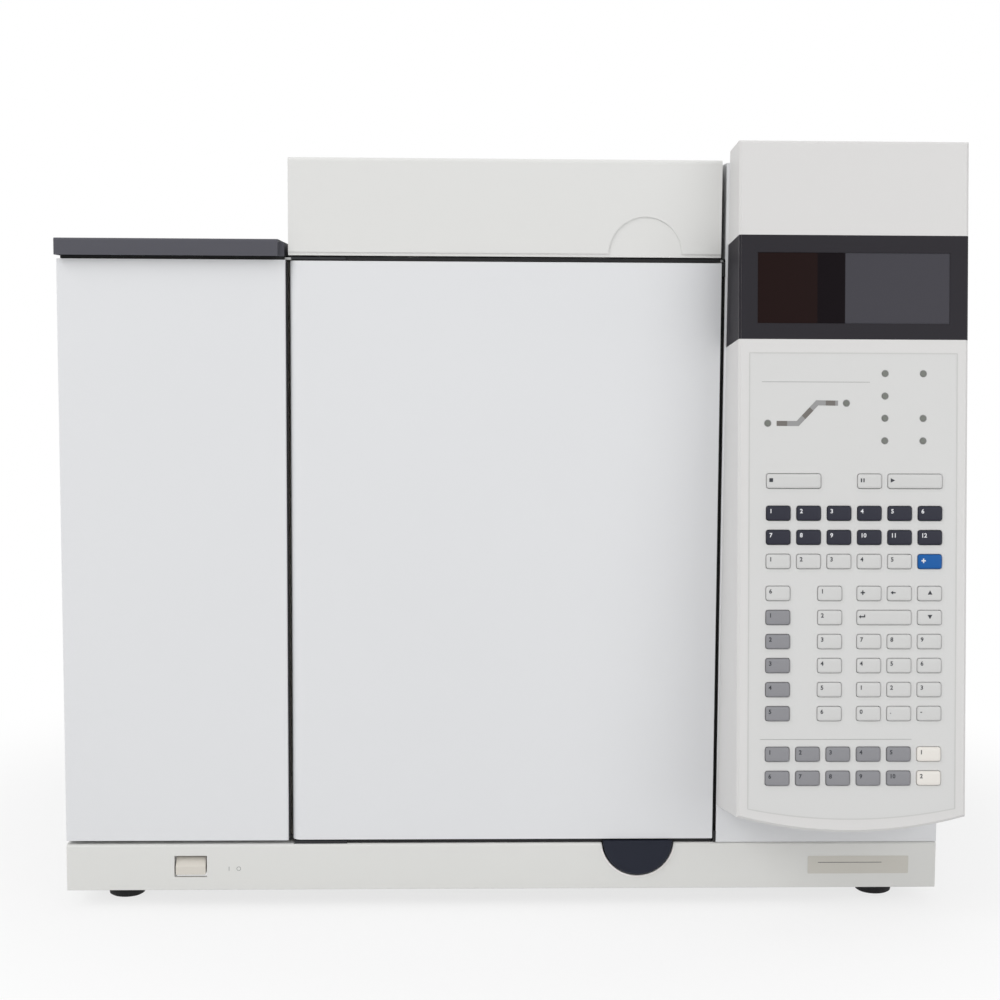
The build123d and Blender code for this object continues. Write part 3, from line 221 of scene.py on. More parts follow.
PRINT_DARK = moulded("print_dark", srgb(52, 54, 60), 0.6, 0.01)
PRINT_GREY = moulded("print_grey", srgb(150, 150, 150), 0.6, 0.01)
PRINT_LIGHT = moulded("print_light", srgb(226, 227, 230), 0.6, 0.01)
PRINT_TAUPE = moulded("print_taupe", srgb(112, 108, 104), 0.6, 0.01)
# A lighter ring that paints the highlight on the rounded rim of the release.
PAINTED_RIM_HIGHLIGHT = painted("painted_rim_highlight", srgb(236, 232, 230))
BLACK = moulded("black_plastic", srgb(30, 31, 34), 0.5)
RUBBER = moulded("rubber_black", srgb(38, 38, 39), 0.8, 0.08)
ZINC = metal("zinc_plate", srgb(196, 197, 196), 0.36)
STAINLESS = metal("stainless", srgb(202, 200, 196), 0.28, (1, 1, 14), 120.0)
TURNED = metal("turned_steel", srgb(206, 204, 200), 0.22, (1, 1, 30), 160.0)
ALUMINIUM = metal("aluminium", srgb(214, 215, 217), 0.34, (14, 1, 1), 140.0)
BRASS = metal("brass", srgb(206, 172, 96), 0.25)
HEATER = metal("heater_wire", srgb(120, 108, 100), 0.45)
BOARD = moulded("circuit_board", srgb(28, 92, 54), 0.4)
FIBRE = moulded("ceramic_fibre", srgb(232, 228, 216), 0.95, 0.5)
AMBER = Surface("amber_tubing", srgb(176, 108, 40), 0.2, grain=300.0, drift=0.15).material
LABEL = Surface("label_foil", srgb(204, 201, 193), 0.4, grain=800.0, drift=0.03, bump=0.01).material


def window_material():
    """Tinted display window: brown and black at the left, greyer where the screen lies behind."""
    surface = Surface("display_window", srgb(30, 16, 15), 0.3, grain=1200.0, drift=0.05, bump=0.0)
    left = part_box("display_lens")[0][0]
    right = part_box("display_lens")[1][0]
    black_from = left + (right - left) * 0.31
    grey_from = left + (right - left) * 0.455
    brown_black = surface.mix(surface.step("X", black_from), surface.tint, srgb(14, 7, 12))
    surface.recolour(surface.mix(surface.step("X", grey_from), brown_black, srgb(70, 69, 75)))
    surface.shader.inputs["Specular IOR Level"].default_value = 0.06
    return surface.material


def board_material():
    """Green board whose sockets at the back have grey shells."""
    surface = Surface("board_with_sockets", srgb(28, 92, 54), 0.4, grain=2600.0, drift=0.015, bump=0.05)
    shells_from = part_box("main_board")[1][1] - 0.02
    surface.recolour(surface.mix(surface.step("Y", shells_from), surface.tint, srgb(72, 73, 76)))
    return surface.material


WINDOW = window_material()
MAIN_BOARD = board_material()

FINISH = {
    PANEL: ["oven_door_shell", "left_front_panel", "left_side_panel", "electronics_cover",
            "console_front_plate"],
    WARM_PANEL: ["base_pan"],
    COVER: ["top_cover", "rear_top_cover"],
    BEZEL: ["console_bezel"],
    SWITCH: ["power_rocker"],
    OVERLAY: ["keypad_overlay"],
    LID: ["left_lid"],
    BAND: ["display_band"],
    PADDLE: ["release_paddle"],
    KEY_DARK: ["component_keys"],
    KEY_GREY: ["function_keys", "method_keys"],
    KEY_LIGHT: ["run_keys", "table_keys", "mode_keys", "edit_keys", "digit_keys"],
    KEY_CREAM: ["user_keys"],
    KEY_BLUE: ["service_key"],
    LAMP: ["status_lamps"],
    WINDOW: ["display_lens"],
    BLACK: ["latch_catch", "door_hinges", "fan_frame", "cooling_fan", "power_inlet"],
    RUBBER: ["rubber_feet", "oven_door_seal"],
    ZINC: ["latch_bracket", "cover_hinges", "console_partition", "rear_panel", "vent_ducts",
           "exhaust_flap", "intake_flap", "panel_screws", "power_supply", "top_deck"],
    STAINLESS: ["oven_liner", "fan_shroud", "oven_fan", "column_hanger"],
    TURNED: ["inlets", "detectors", "detector_collectors"],
    ALUMINIUM: ["epc_modules", "oven_motor"],
    BRASS: ["gas_fittings", "inlet_septum_nuts"],
    HEATER: ["heater_coil"],
    BOARD: ["front_board"],
    MAIN_BOARD: ["main_board"],
    FIBRE: ["oven_insulation", "oven_door_core"],
    AMBER: ["capillary_column"],
}
EDGE = {
    "oven_door_shell": 0.8, "left_front_panel": 0.8, "base_pan": 0.8, "top_cover": 0.7, "left_lid": 0.5,
    "rear_top_cover": 0.7, "console_front_plate": 0.4, "console_bezel": 0.5,
    "display_band": 0.3, "release_paddle": 1.1,
    "oven_fan": 0.3, "epc_modules": 0.6, "power_inlet": 0.5, "rear_panel": 0.2, "status_lamps": 0.3,
    "oven_door_core": 1.5, "gas_fittings": 0.4, "inlets": 0.3, "detectors": 0.3, "detector_collectors": 0.3,
}


def soften(node, width):
    """Rounds a CAD node's sharp edges with modifiers, which leave its mesh alone."""
    weld = node.modifiers.new("weld", "WELD")
    weld.merge_threshold = 1e-5
    bevel = node.modifiers.new("edges", "BEVEL")
    bevel.width = width * MM
    bevel.segments = 2
    bevel.limit_method = "ANGLE"
    bevel.angle_limit = math.radians(40)
    bevel.use_clamp_overlap = True
    bevel.harden_normals = False
    smooth = node.modifiers.new("normals", "WEIGHTED_NORMAL")
    smooth.keep_sharp = False


def dress_nodes():
    for material, names in FINISH.items():
        for name in names:
            slots = NODES[name].data.materials
            slots.clear()
            slots.append(material)
    for name, width in EDGE.items():
        soften(NODES[name], width)


dress_nodes()


# ---- pieces drawn as meshes ---------------------------------------------------------
def add_piece(name, mesh, body, material):
    piece = bpy.data.objects.new(name, mesh)
    bpy.context.scene.collection.objects.link(piece)
    mesh.materials.append(material)
    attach(piece, body)
    return piece


def mesh_from(name, build):
    """New mesh filled by a function that draws into a bmesh."""
    shape = bmesh.new()
    build(shape)
    mesh = bpy.data.meshes.new(name)
    shape.normal_update()
    shape.to_mesh(mesh)
    shape.free()
    return mesh


def plate(shape, matrix, outline, thickness):
    """Flat outline (mm, in a plane) raised to a thickness above it, with its sides."""
    base = [shape.verts.new(matrix @ Vector((x * MM, y * MM, 0))) for x, y in outline]
    top = [shape.verts.new(matrix @ Vector((x * MM, y * MM, thickness * MM))) for x, y in outline]
    shape.faces.new(top)
    count = len(outline)
    for i in range(count):
        j = (i + 1) % count
        shape.faces.new((base[i], base[j], top[j], top[i]))


def rounded_outline(width, height, radius, steps=5):
    """Rectangle about the origin with round corners."""
    points = []
    for sign_x, sign_y, start in ((1, 1, 0), (-1, 1, 90), (-1, -1, 180), (1, -1, 270)):
        for step in range(steps + 1):
            angle = math.radians(start + 90 * step / steps)
            points.append((
                sign_x * (width / 2 - radius) + radius * math.cos(angle),
                sign_y * (height / 2 - radius) + radius * math.sin(angle),
            ))
    return points


def ribbon_outline(points, width):
    """Outline of a line of a given width with mitred bends."""
    left, right = [], []
    for i, point in enumerate(points):
        here = Vector(point)
        before = Vector(points[max(i - 1, 0)])
        after = Vector(points[min(i + 1, len(points) - 1)])
        along_in = (here - before).normalized() if i else (after - here).normalized()
        along_out = (after - here).normalized() if i < len(points) - 1 else along_in
        mean = (along_in + along_out).normalized()
        normal = Vector((-mean.y, mean.x))
        reach = width / 2 / max(0.4, normal.dot(Vector((-along_in.y, along_in.x))))
        left.append(here + normal * reach)
        right.append(here - normal * reach)
    return [tuple(p) for p in right] + [tuple(p) for p in reversed(left)]


GLYPHS = {}
STROKE_SWELL = 0.035  # thickens the strokes
GLYPH_SIZE = 1.38  # font size at which a capital, swell included, is about 1 unit high


def glyph(text):
    """Flat mesh of a short text, 1 unit high, kept once drawn."""
    if text not in GLYPHS:
        curve = bpy.data.curves.new("glyph", "FONT")
        curve.body = text
        curve.size = GLYPH_SIZE
        curve.resolution_u = 3
        curve.offset = STROKE_SWELL
        carrier = bpy.data.objects.new("glyph", curve)
        mesh = bpy.data.meshes.new_from_object(carrier)
        GLYPHS[text] = ([v.co.copy() for v in mesh.vertices], [tuple(p.vertices) for p in mesh.polygons])
        bpy.data.objects.remove(carrier)
        bpy.data.curves.remove(curve)
        bpy.data.meshes.remove(mesh)
    return GLYPHS[text]


def write_text(shape, matrix, text, x, y, height):
    """Text with its lower left corner at a point of a plane, in mm."""
    points, polygons = glyph(text)
    verts = [
        shape.verts.new(matrix @ Vector(((x + point.x * height) * MM, (y + point.y * height) * MM, 0)))
        for point in points
    ]
    for polygon in polygons:
        shape.faces.new([verts[i] for i in polygon])


def fill(shape, matrix, outline):
    """One flat face in a plane, its outline in mm."""
    shape.faces.new([shape.verts.new(matrix @ Vector((x * MM, y * MM, 0))) for x, y in outline])


def ring_of_verts(shape, matrix, outline, height):
    """Vertices along an outline (mm) at a height above a plane."""
    return [shape.verts.new(matrix @ Vector((x * MM, y * MM, height * MM))) for x, y in outline]


def ring(shape, matrix, inner, outer, steps=28):
    """Flat ring in a plane, radii in mm."""
    angles = [2 * math.pi * i / steps for i in range(steps)]
    circles = [
        ring_of_verts(shape, matrix, [(radius * math.cos(a), radius * math.sin(a)) for a in angles], 0.0)
        for radius in (inner, outer)
    ]
    for i in range(steps):
        j = (i + 1) % steps
        shape.faces.new((circles[0][i], circles[1][i], circles[1][j], circles[0][j]))


def arc_band(shape, matrix, inner, outer, start, end, height=0.0, steps=40):
    """Part of a flat ring in a plane, between two angles in degrees."""
    angles = [math.radians(start + (end - start) * i / steps) for i in range(steps + 1)]
    arcs = [
        ring_of_verts(shape, matrix, [(radius * math.cos(a), radius * math.sin(a)) for a in angles], height)
        for radius in (inner, outer)
    ]
    for i in range(steps):
        shape.faces.new((arcs[0][i], arcs[1][i], arcs[1][i + 1], arcs[0][i + 1]))


def finish_of(node):
    """Material that a CAD node wears."""
    return next(material for material, names in FINISH.items() if node in names)


# ---- domed key caps and the collars round them --------------------------------------
def narrow(columns, drops):
    """Places of single-width keys, row by row."""
    return [(x, drop, 0.0) for drop in drops for x in columns]


WIDE_LEFT_COLUMN = (COLUMN_X[0] + COLUMN_X[1]) / 2
WIDE_RIGHT_COLUMN = (COLUMN_X[4] + COLUMN_X[5]) / 2
ENTER_COLUMN = (COLUMN_X[3] + COLUMN_X[4]) / 2
# x from the face's middle, drop from its top, and width beyond a single key's
KEY_PLACES = {
    "run_keys": [(WIDE_LEFT_COLUMN, RUN_ROW, KEY_PITCH), (COLUMN_X[3], RUN_ROW, 0.0),
                 (WIDE_RIGHT_COLUMN, RUN_ROW, KEY_PITCH)],
    "component_keys": narrow(COLUMN_X, (COMPONENT_ROW, COMPONENT_ROW + ROW_PITCH)),
    "table_keys": narrow(COLUMN_X[:5], (TABLE_ROW,)) + [(COLUMN_X[0], EDIT_ROWS[0], 0.0)],
    "service_key": [(COLUMN_X[5], TABLE_ROW, 0.0)],
    "function_keys": narrow(COLUMN_X[:1], EDIT_ROWS[1:]),
    "mode_keys": narrow((MODE_X,), EDIT_ROWS),
    "edit_keys": narrow(COLUMN_X[3:], EDIT_ROWS[:1])
    + [(ENTER_COLUMN, EDIT_ROWS[1], KEY_PITCH), (COLUMN_X[5], EDIT_ROWS[1], 0.0)],
    "digit_keys": narrow(COLUMN_X[3:], EDIT_ROWS[2:]),
    "method_keys": narrow(COLUMN_X[:5], METHOD_ROWS),
    "user_keys": narrow(COLUMN_X[5:], METHOD_ROWS),
}
# (inset from the cap's outline, height off the face) of each ring of a cap
CAP_RINGS = [(0.0, CAP_ROOT), (0.0, 0.55), (0.1, 0.95), (0.35, 1.25), (0.8, 1.45), (1.7, 1.56),
             (3.2, CAP_PROUD)]
# (reach past the cap's outline, height off the face) of each ring of a collar
COLLAR_RINGS = [(0.3, -1.2), (0.3, 0.16), (0.55, 0.24), (COLLAR_REACH, 0.04)]
CORNER_STEPS = 4


def skin(shape, first, second, smooth=True):
    """Faces between two rings of as many points."""
    count = len(first)
    for i in range(count):
        j = (i + 1) % count
        shape.faces.new((first[i], first[j], second[j], second[i])).smooth = smooth


def cap(shape, x, drop, extra):
    """A key cap with round corners and a domed top."""
    matrix = face_matrix(x, drop)
    rings = []
    for inset, height in CAP_RINGS:
        corner = max(0.4, CAP_CORNER - inset * 0.6)
        outline = rounded_outline(
            CAP_WIDTH + extra - 2 * inset, CAP_HEIGHT - 2 * inset, corner, CORNER_STEPS)
        rings.append(ring_of_verts(shape, matrix, outline, height))
    for lower, upper in zip(rings, rings[1:]):
        skin(shape, lower, upper)
    shape.faces.new(rings[-1]).smooth = True


def collar(shape, x, drop, extra):
    """The film's raised lip round a cap, from its opening out to the flat film."""
    matrix = face_matrix(x, drop)
    rings = []
    for reach, height in COLLAR_RINGS:
        outline = rounded_outline(
            CAP_WIDTH + extra + 2 * reach, CAP_HEIGHT + 2 * reach, CAP_CORNER + reach * 0.5, CORNER_STEPS)
        rings.append(ring_of_verts(shape, matrix, outline, height))
    for lower, upper in zip(rings, rings[1:]):
        skin(shape, lower, upper)


def build_caps():
    for node, places in KEY_PLACES.items():
        def draw(shape, places=places):
            for place in places:
                cap(shape, *place)
        piece = add_piece(node + "_caps", mesh_from(node, draw), node, finish_of(node))
        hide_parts(node)

    def draw_collars(shape):
        for places in KEY_PLACES.values():
            for place in places:
                collar(shape, *place)

    add_piece("key_collars", mesh_from("collars", draw_collars), "chassis", OVERLAY)


# ---- legends on the keys ------------------------------------------------------------
LEGEND_LEFT = -KEY_WIDTH / 2 + 2.0
LEGEND_LOW = KEY_HEIGHT / 2 - 4.7
LEGEND_HEIGHT = 2.7
SIGN_RISE = 0.6  # signs sit this far above a key's middle
WIDE_LEFT = -(KEY_WIDTH + KEY_PITCH) / 2 + 3.0
SIGN_LEFT = LEGEND_LEFT + 1.6
PAUSE_AT = LEGEND_LEFT + 1.2
UP_ARROW = [(-1.5, -1.2), (1.5, -1.2), (0.0, 1.5)]
DOWN_ARROW = [(-1.5, 1.2), (0.0, -1.5), (1.5, 1.2)]
PLAY = [(-1.3, -1.4), (1.5, 0.0), (-1.3, 1.4)]
STOP = [(-1.2, -1.2), (1.2, -1.2), (1.2, 1.2), (-1.2, 1.2)]
PAUSE_LEFT = [(-1.2, -1.2), (-0.4, -1.2), (-0.4, 1.2), (-1.2, 1.2)]
PAUSE_RIGHT = [(0.4, -1.2), (1.2, -1.2), (1.2, 1.2), (0.4, 1.2)]
BACK = [(-1.6, 0.0), (0.0, -1.2), (0.0, -0.4), (1.6, -0.4), (1.6, 0.4), (0.0, 0.4), (0.0, 1.2)]
CROSS = [(-1.4, -0.4), (-0.4, -0.4), (-0.4, -1.4), (0.4, -1.4), (0.4, -0.4), (1.4, -0.4),
         (1.4, 0.4), (0.4, 0.4), (0.4, 1.4), (-0.4, 1.4), (-0.4, 0.4), (-1.4, 0.4)]
RETURN = [(-1.9, 0.0), (-0.6, 1.1), (-0.6, 0.4), (1.5, 0.4), (1.5, 1.4), (2.2, 1.4),
          (2.2, -0.4), (-0.6, -0.4), (-0.6, -1.1)]


def labelled(node, texts):
    """(x, drop, text) for each key of a node."""
    return [(x, drop, text) for (x, drop, _), text in zip(KEY_PLACES[node], texts)]


def counted(node):
    """Keys of a node labelled 1, 2, 3 and so on."""
    return labelled(node, [str(number) for number in range(1, len(KEY_PLACES[node]) + 1)])


INKS = {"component_keys": PRINT_LIGHT, "service_key": PRINT_LIGHT}
LEGENDS = {node: counted(node) for node in (
    "component_keys", "table_keys", "function_keys", "mode_keys", "method_keys", "user_keys")}
LEGENDS["digit_keys"] = labelled("digit_keys", "7894561230.-")
SIGNS = {
    "run_keys": [
        (WIDE_LEFT_COLUMN + WIDE_LEFT, RUN_ROW, STOP),
        (COLUMN_X[3] + PAUSE_AT, RUN_ROW, PAUSE_LEFT),
        (COLUMN_X[3] + PAUSE_AT, RUN_ROW, PAUSE_RIGHT),
        (WIDE_RIGHT_COLUMN + WIDE_LEFT, RUN_ROW, PLAY),
    ],
    "service_key": [(COLUMN_X[5] + SIGN_LEFT, TABLE_ROW, CROSS)],
    "edit_keys": [
        (COLUMN_X[3] + SIGN_LEFT, EDIT_ROWS[0], CROSS),
        (COLUMN_X[4] + SIGN_LEFT, EDIT_ROWS[0], BACK),
        (COLUMN_X[5], EDIT_ROWS[0], UP_ARROW),
        (COLUMN_X[5], EDIT_ROWS[1], DOWN_ARROW),
        (ENTER_COLUMN + WIDE_LEFT, EDIT_ROWS[1], RETURN),
    ],
}


def legend_matrix(x, drop):
    """Plane of a mark on top of a cap."""
    return face_matrix(x, drop, CAP_PROUD + PRINT_LIFT)


def build_legends():
    for node, marks in LEGENDS.items():
        def draw(shape, marks=marks):
            for x, drop, text in marks:
                write_text(shape, legend_matrix(x, drop), text, LEGEND_LEFT, LEGEND_LOW, LEGEND_HEIGHT)
        add_piece(node + "_legends", mesh_from(node, draw), node, INKS.get(node, PRINT_DARK))
    for node, marks in SIGNS.items():
        def draw(shape, marks=marks):
            for x, drop, outline in marks:
                fill(shape, legend_matrix(x, drop - SIGN_RISE), outline)
        add_piece(node + "_signs", mesh_from(node, draw), node, INKS.get(node, PRINT_DARK))


# ---- print on the overlay -----------------------------------------------------------
RAMP = [(-48.7, 178.1), (-35.3, 178.1), (-23.0, 165.0), (-9.8, 165.2)]
RAMP_MARKS = [[(-48.7, 178.1), (-42.0, 178.1)], [(-31.6, 174.2), (-26.6, 168.9)],
              [(-17.6, 165.1), (-11.6, 165.2)]]
RAMP_WIDTH = 3.2
RULES = [(-58.1, 10.4, 151.9), (-58.3, 38.0, 377.6)]  # from x, to x, drop
RULE_WIDTH = 0.28
LAMP_RING = (1.95, 2.3)  # radii
FILM_HALF = 65.9
FILM_TOP = 133.7
FILM_SIDE_FOOT = 421.6
FILM_SAGITTA = 6.6
FILM_SHADE_LINE_WIDTH = 0.75
FILM_SHADE_LINE_LIFT = 0.08


def build_overlay_print():
    """Temperature trace, rules, lamp rings, and a darker line along the film's edge that paints its shade over
    the gap there.
    """
    def on_face(points):
        return [(x, -drop) for x, drop in points]

    def draw_trace(shape):
        fill(shape, face_matrix(0, 0, PRINT_LIFT), ribbon_outline(on_face(RAMP), RAMP_WIDTH))

    def draw_marks(shape):
        for points in RAMP_MARKS:
            fill(shape, face_matrix(0, 0, 1.5 * PRINT_LIFT), ribbon_outline(on_face(points), RAMP_WIDTH))

    def draw_rules(shape):
        for start, end, drop in RULES:
            line = [(start, -drop), (end, -drop)]
            fill(shape, face_matrix(0, 0, PRINT_LIFT), ribbon_outline(line, RULE_WIDTH))
        for x, drop in LAMP_PLACES:
            ring(shape, face_matrix(x, drop, PRINT_LIFT), *LAMP_RING)

    # Painted shade line along the film's edge.
    def draw_edge(shape):
        radius = (FILM_HALF ** 2 + FILM_SAGITTA ** 2) / (2 * FILM_SAGITTA)
        spread = math.asin(FILM_HALF / radius)
        centre = FILM_SIDE_FOOT + FILM_SAGITTA - radius
        foot = [(radius * math.sin(a), centre + radius * math.cos(a))
                for a in (spread * (1 - i / 12) for i in range(25))]
        left = [(-FILM_HALF, FILM_SIDE_FOOT), (-FILM_HALF, FILM_TOP)]
        top = [(-FILM_HALF, FILM_TOP), (FILM_HALF, FILM_TOP)]
        right = [(FILM_HALF, FILM_TOP), (FILM_HALF, FILM_SIDE_FOOT)]
        for line in (left, top, right, foot):
            fill(shape, face_matrix(0, 0, FILM_SHADE_LINE_LIFT), ribbon_outline(on_face(line), FILM_SHADE_LINE_WIDTH))

    for name, draw, ink in (
        ("ramp_trace", draw_trace, PRINT_GREY),
        ("ramp_marks", draw_marks, PRINT_TAUPE),
        ("overlay_shade_line", draw_edge, FILM_SHADE_LINE),
        ("overlay_rules", draw_rules, PRINT_GREY),
    ):
        add_piece(name, mesh_from(name, draw), "chassis", ink)


# ---- the switch, the feet and thin trim of the front --------------------------------
ROCKER_HALF = 9.9
ROCKER_PROFILE = [(-203.5, 22.4), (-203.5, 27.6), (-203.2, 28.4), (-198.6, 33.6), (-194.0, 33.6),
                  (-194.0, 22.4)]  # (y, z)


def build_rocker():
    """The switch's rocker: a flush lower half and an upper half that slopes in."""
    low, high = (Vector(corner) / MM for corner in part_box("power_rocker"))
    middle = (low.x + high.x) / 2

    def draw(shape):
        left, right = (
            [shape.verts.new(Vector((middle + side * ROCKER_HALF, y, z)) * MM) for y, z in ROCKER_PROFILE]
            for side in (-1, 1)
        )
        shape.faces.new(left)
        shape.faces.new(right[::-1])
        skin(shape, right, left, False)

    piece = add_piece("rocker_cap", mesh_from("rocker", draw), "power_rocker", SWITCH)
    soften(piece, 0.5)
    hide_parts("power_rocker")


FOOT_RADIUS = 17.0  # of the frame's feet
FOOT_PROFILE = [(4.5, 2.5), (4.5, 0.0), (10.5, 0.0), (11.8, 0.8), (12.6, 5.0), (15.5, 10.4),
                (16.0, 12.0)]  # (radius, z)
FOOT_SIDES = 40


def build_feet():
    """Rubber feet that narrow to the bench, with a screw recess underneath."""
    low, high = (Vector(corner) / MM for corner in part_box("rubber_feet"))
    turns = [2 * math.pi * i / FOOT_SIDES for i in range(FOOT_SIDES)]

    def foot(shape, x, y):
        rings = [
            [shape.verts.new(Vector((x + r * math.cos(a), y + r * math.sin(a), z)) * MM) for a in turns]
            for r, z in FOOT_PROFILE
        ]
        shape.faces.new(rings[0][::-1])
        for below, above in zip(rings, rings[1:]):
            skin(shape, below, above)
        shape.faces.new(rings[-1])

    def draw(shape):
        for x in (low.x + FOOT_RADIUS, high.x - FOOT_RADIUS):
            for y in (low.y + FOOT_RADIUS, high.y - FOOT_RADIUS):
                foot(shape, x, y)

    piece = add_piece("tapered_feet", mesh_from("feet", draw), "chassis", RUBBER)
    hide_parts("rubber_feet")


# Bars: x, y and z of the middle of the back face, width, height, and depth towards the front
# A dark strip that paints the shade in the seam between the left panel and the door.
SEAM_SHADE_STRIP = [(-142.75, -198.5, 236.7, 1.1, 380.0, 1.2)]
DOOR_STOPS = [(140.45, -199.0, 47.3, 1.8, 7.4, 3.8), (140.45, -199.0, 423.7, 1.8, 9.4, 3.8)]
# Dark strips that paint the shade in the gaps: door to console, door to base, under the cover's lip and under
# the lid.
GAP_SHADE_STRIPS = [
    (140.55, -192.0, 236.7, 1.6, 382.0, 6.0),
    (-0.5, -196.0, 44.4, 278.0, 2.4, 4.5),
    (-0.5, -195.2, 429.15, 278.0, 2.3, 5.0),
    (-216.0, -195.2, 429.1, 143.0, 1.9, 6.5),
]
BAR_CORNER = 0.4
PLATE_THICKNESS = 0.15
RULE_THICKNESS = 0.05
RELEASE_CENTRE = (89.0, 44.8)  # x, z
# A black arc behind the gap round the release, which paints the shade in that gap.
SHADE_ARC_Y = -199.05
SHADE_ARC_PROUD = 0.25
# A facet at each side of the display band: (distance from the face's middle, height off the face)
BAND_CORNER_SIDE = (FACE_HALF, -1.39)
BAND_CORNER_FRONT = (FACE_HALF - 1.44, 0.05)


def bars(places):
    """Function that draws bars with slightly round corners."""
    def draw(shape):
        for x, y, z, width, height, depth in places:
            plate(shape, upright_matrix(x, y, z), rounded_outline(width, height, BAR_CORNER, 2), depth)
    return draw


def build_front_pieces():
    """Bare rating plate, switch marks, rubber-black strips and an arc that paint the shade in gaps, a painted
    highlight on the release's rim, and band corners.
    """
    release_x, release_z = RELEASE_CENTRE

    def draw_plate(shape):
        plate(shape, upright_matrix(237.6, FRONT_Y, 27.6), rounded_outline(67.9, 12.0, 0.8), PLATE_THICKNESS)

    def draw_plate_rule(shape):
        matrix = upright_matrix(232.0, FRONT_Y - PLATE_THICKNESS, 29.2)
        plate(shape, matrix, rounded_outline(43.0, 0.35, 0.1, 2), RULE_THICKNESS)

    def draw_switch(shape):
        matrix = upright_matrix(0, FRONT_Y - PRINT_LIFT, 0)
        fill(shape, matrix, [(-183.1, 25.0), (-182.7, 25.0), (-182.7, 27.8), (-183.1, 27.8)])
        ring(shape, upright_matrix(-176.5, FRONT_Y - PRINT_LIFT, 26.4), 1.1, 1.45)

    # Painted shade: a black arc set behind the gap round the release.
    def draw_surround(shape):
        matrix = upright_matrix(release_x, SHADE_ARC_Y, release_z)
        arc_band(shape, matrix, 21.0, 25.5, 180.0, 360.0, SHADE_ARC_PROUD)

    # Painted highlight on the release's rim: a thin ring lighter than the pan.
    def draw_rim(shape):
        matrix = upright_matrix(release_x, FRONT_Y - PRINT_LIFT, release_z)
        arc_band(shape, matrix, 24.2, 25.3, 193.5, 346.5)

    def draw_band_corners(shape):
        corners = [(BAND_TOP, *BAND_CORNER_SIDE), (BAND_TOP, *BAND_CORNER_FRONT),
                   (BAND_BOTTOM, *BAND_CORNER_FRONT), (BAND_BOTTOM, *BAND_CORNER_SIDE)]
        for side in (-1, 1):
            verts = [shape.verts.new(face_matrix(side * x, drop, out).translation) for drop, x, out in corners]
            shape.faces.new(verts if side > 0 else verts[::-1])

    for name, draw, material, node in (
        ("rating_plate_blank", draw_plate, LABEL, "base_pan"),
        ("switch_marks", draw_switch, PRINT_GREY, "base_pan"),
        ("panel_seam_shade_strip", bars(SEAM_SHADE_STRIP), RUBBER, "rubber_feet"),
        ("door_side_stops", bars(DOOR_STOPS), RUBBER, "rubber_feet"),
        ("door_gap_shade_strips", bars(GAP_SHADE_STRIPS), RUBBER, "rubber_feet"),
        ("release_shade_arc", draw_surround, RUBBER, "rubber_feet"),
        ("release_rim_highlight", draw_rim, PAINTED_RIM_HIGHLIGHT, "base_pan"),
        ("rating_plate_rule", draw_plate_rule, PRINT_DARK, "base_pan"),
        ("band_corners", draw_band_corners, BAND, "display_band"),
    ):
        add_piece(name, mesh_from(name, draw), "chassis", material)


# ---- the wound column on its cage ---------------------------------------------------
def build_column():
    """Rings of tubing laid side by side, in place of the single ring of the frame."""
    low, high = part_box("capillary_column")
    centre = (Vector(low) + Vector(high)) / 2
    outer = (high[0] - low[0]) / 2
    depth = high[1] - low[1]
    tube = 0.0011
    chance = random.Random(7)

    def draw(shape):
        for layer in range(3):
            turns = 7 - layer % 2
            for turn in range(turns):
                y = centre.y - depth / 2 + tube + (depth - 2 * tube) * (turn + 0.5 * (layer % 2)) / 6
                radius = outer - tube - layer * 1.85 * tube
                phase = chance.uniform(0, 2 * math.pi)
                torus(shape, Vector((centre.x, y, centre.z)), radius, tube * 0.97, phase)

    def torus(shape, middle, radius, thick, phase):
        around, across = 72, 8
        rings = []
        for i in range(around):
            a = 2 * math.pi * i / around
            swell = radius - 0.0003 * (1 + math.sin(3 * a + phase))
            rings.append([
                shape.verts.new(middle + Vector((
                    (swell + thick * math.cos(b)) * math.cos(a), thick * math.sin(b),
                    (swell + thick * math.cos(b)) * math.sin(a))))
                for b in (2 * math.pi * j / across for j in range(across))
            ])
        for i in range(around):
            for j in range(across):
                k, m = (i + 1) % around, (j + 1) % across
                face = shape.faces.new((rings[i][j], rings[k][j], rings[k][m], rings[i][m]))
                face.smooth = True

    piece = add_piece("column_windings", mesh_from("windings", draw), "chassis", AMBER)
    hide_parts("capillary_column")


build_caps()
build_legends()
build_overlay_print()
build_front_pieces()
build_rocker()
build_feet()
build_column()


# ---- floor, light and camera --------------------------------------------------------
def white_for_camera(tree):
    """1 for what the camera, gloss and glass see, and 0 for the light on the object."""
    path = tree.nodes.new("ShaderNodeLightPath")
    seen = tree.nodes.new("ShaderNodeMath")
    seen.operation = "MAXIMUM"
    tree.links.new(path.outputs["Is Camera Ray"], seen.inputs[0])
    tree.links.new(path.outputs["Is Glossy Ray"], seen.inputs[1])
    through = tree.nodes.new("ShaderNodeMath")
    through.operation = "MAXIMUM"
    tree.links.new(seen.outputs[0], through.inputs[0])
    tree.links.new(path.outputs["Is Transmission Ray"], through.inputs[1])
    return through.outputs[0]


def build_world():
    world = bpy.data.worlds.new("studio")
    bpy.context.scene.world = world
    world.use_nodes = True
    tree = world.node_tree
    output = tree.nodes["World Output"]
    lit = tree.nodes["Background"]
    lit.inputs["Color"].default_value = (1, 1, 1, 1)
    lit.inputs["Strength"].default_value = WORLD_LIGHT
    white = tree.nodes.new("ShaderNodeBackground")
    white.inputs["Color"].default_value = (1, 1, 1, 1)
    white.inputs["Strength"].default_value = 1.0
    mix = tree.nodes.new("ShaderNodeMixShader")
    tree.links.new(white_for_camera(tree), mix.inputs[0])
    tree.links.new(lit.outputs[0], mix.inputs[1])
    tree.links.new(white.outputs[0], mix.inputs[2])
    tree.links.new(mix.outputs[0], output.inputs["Surface"])


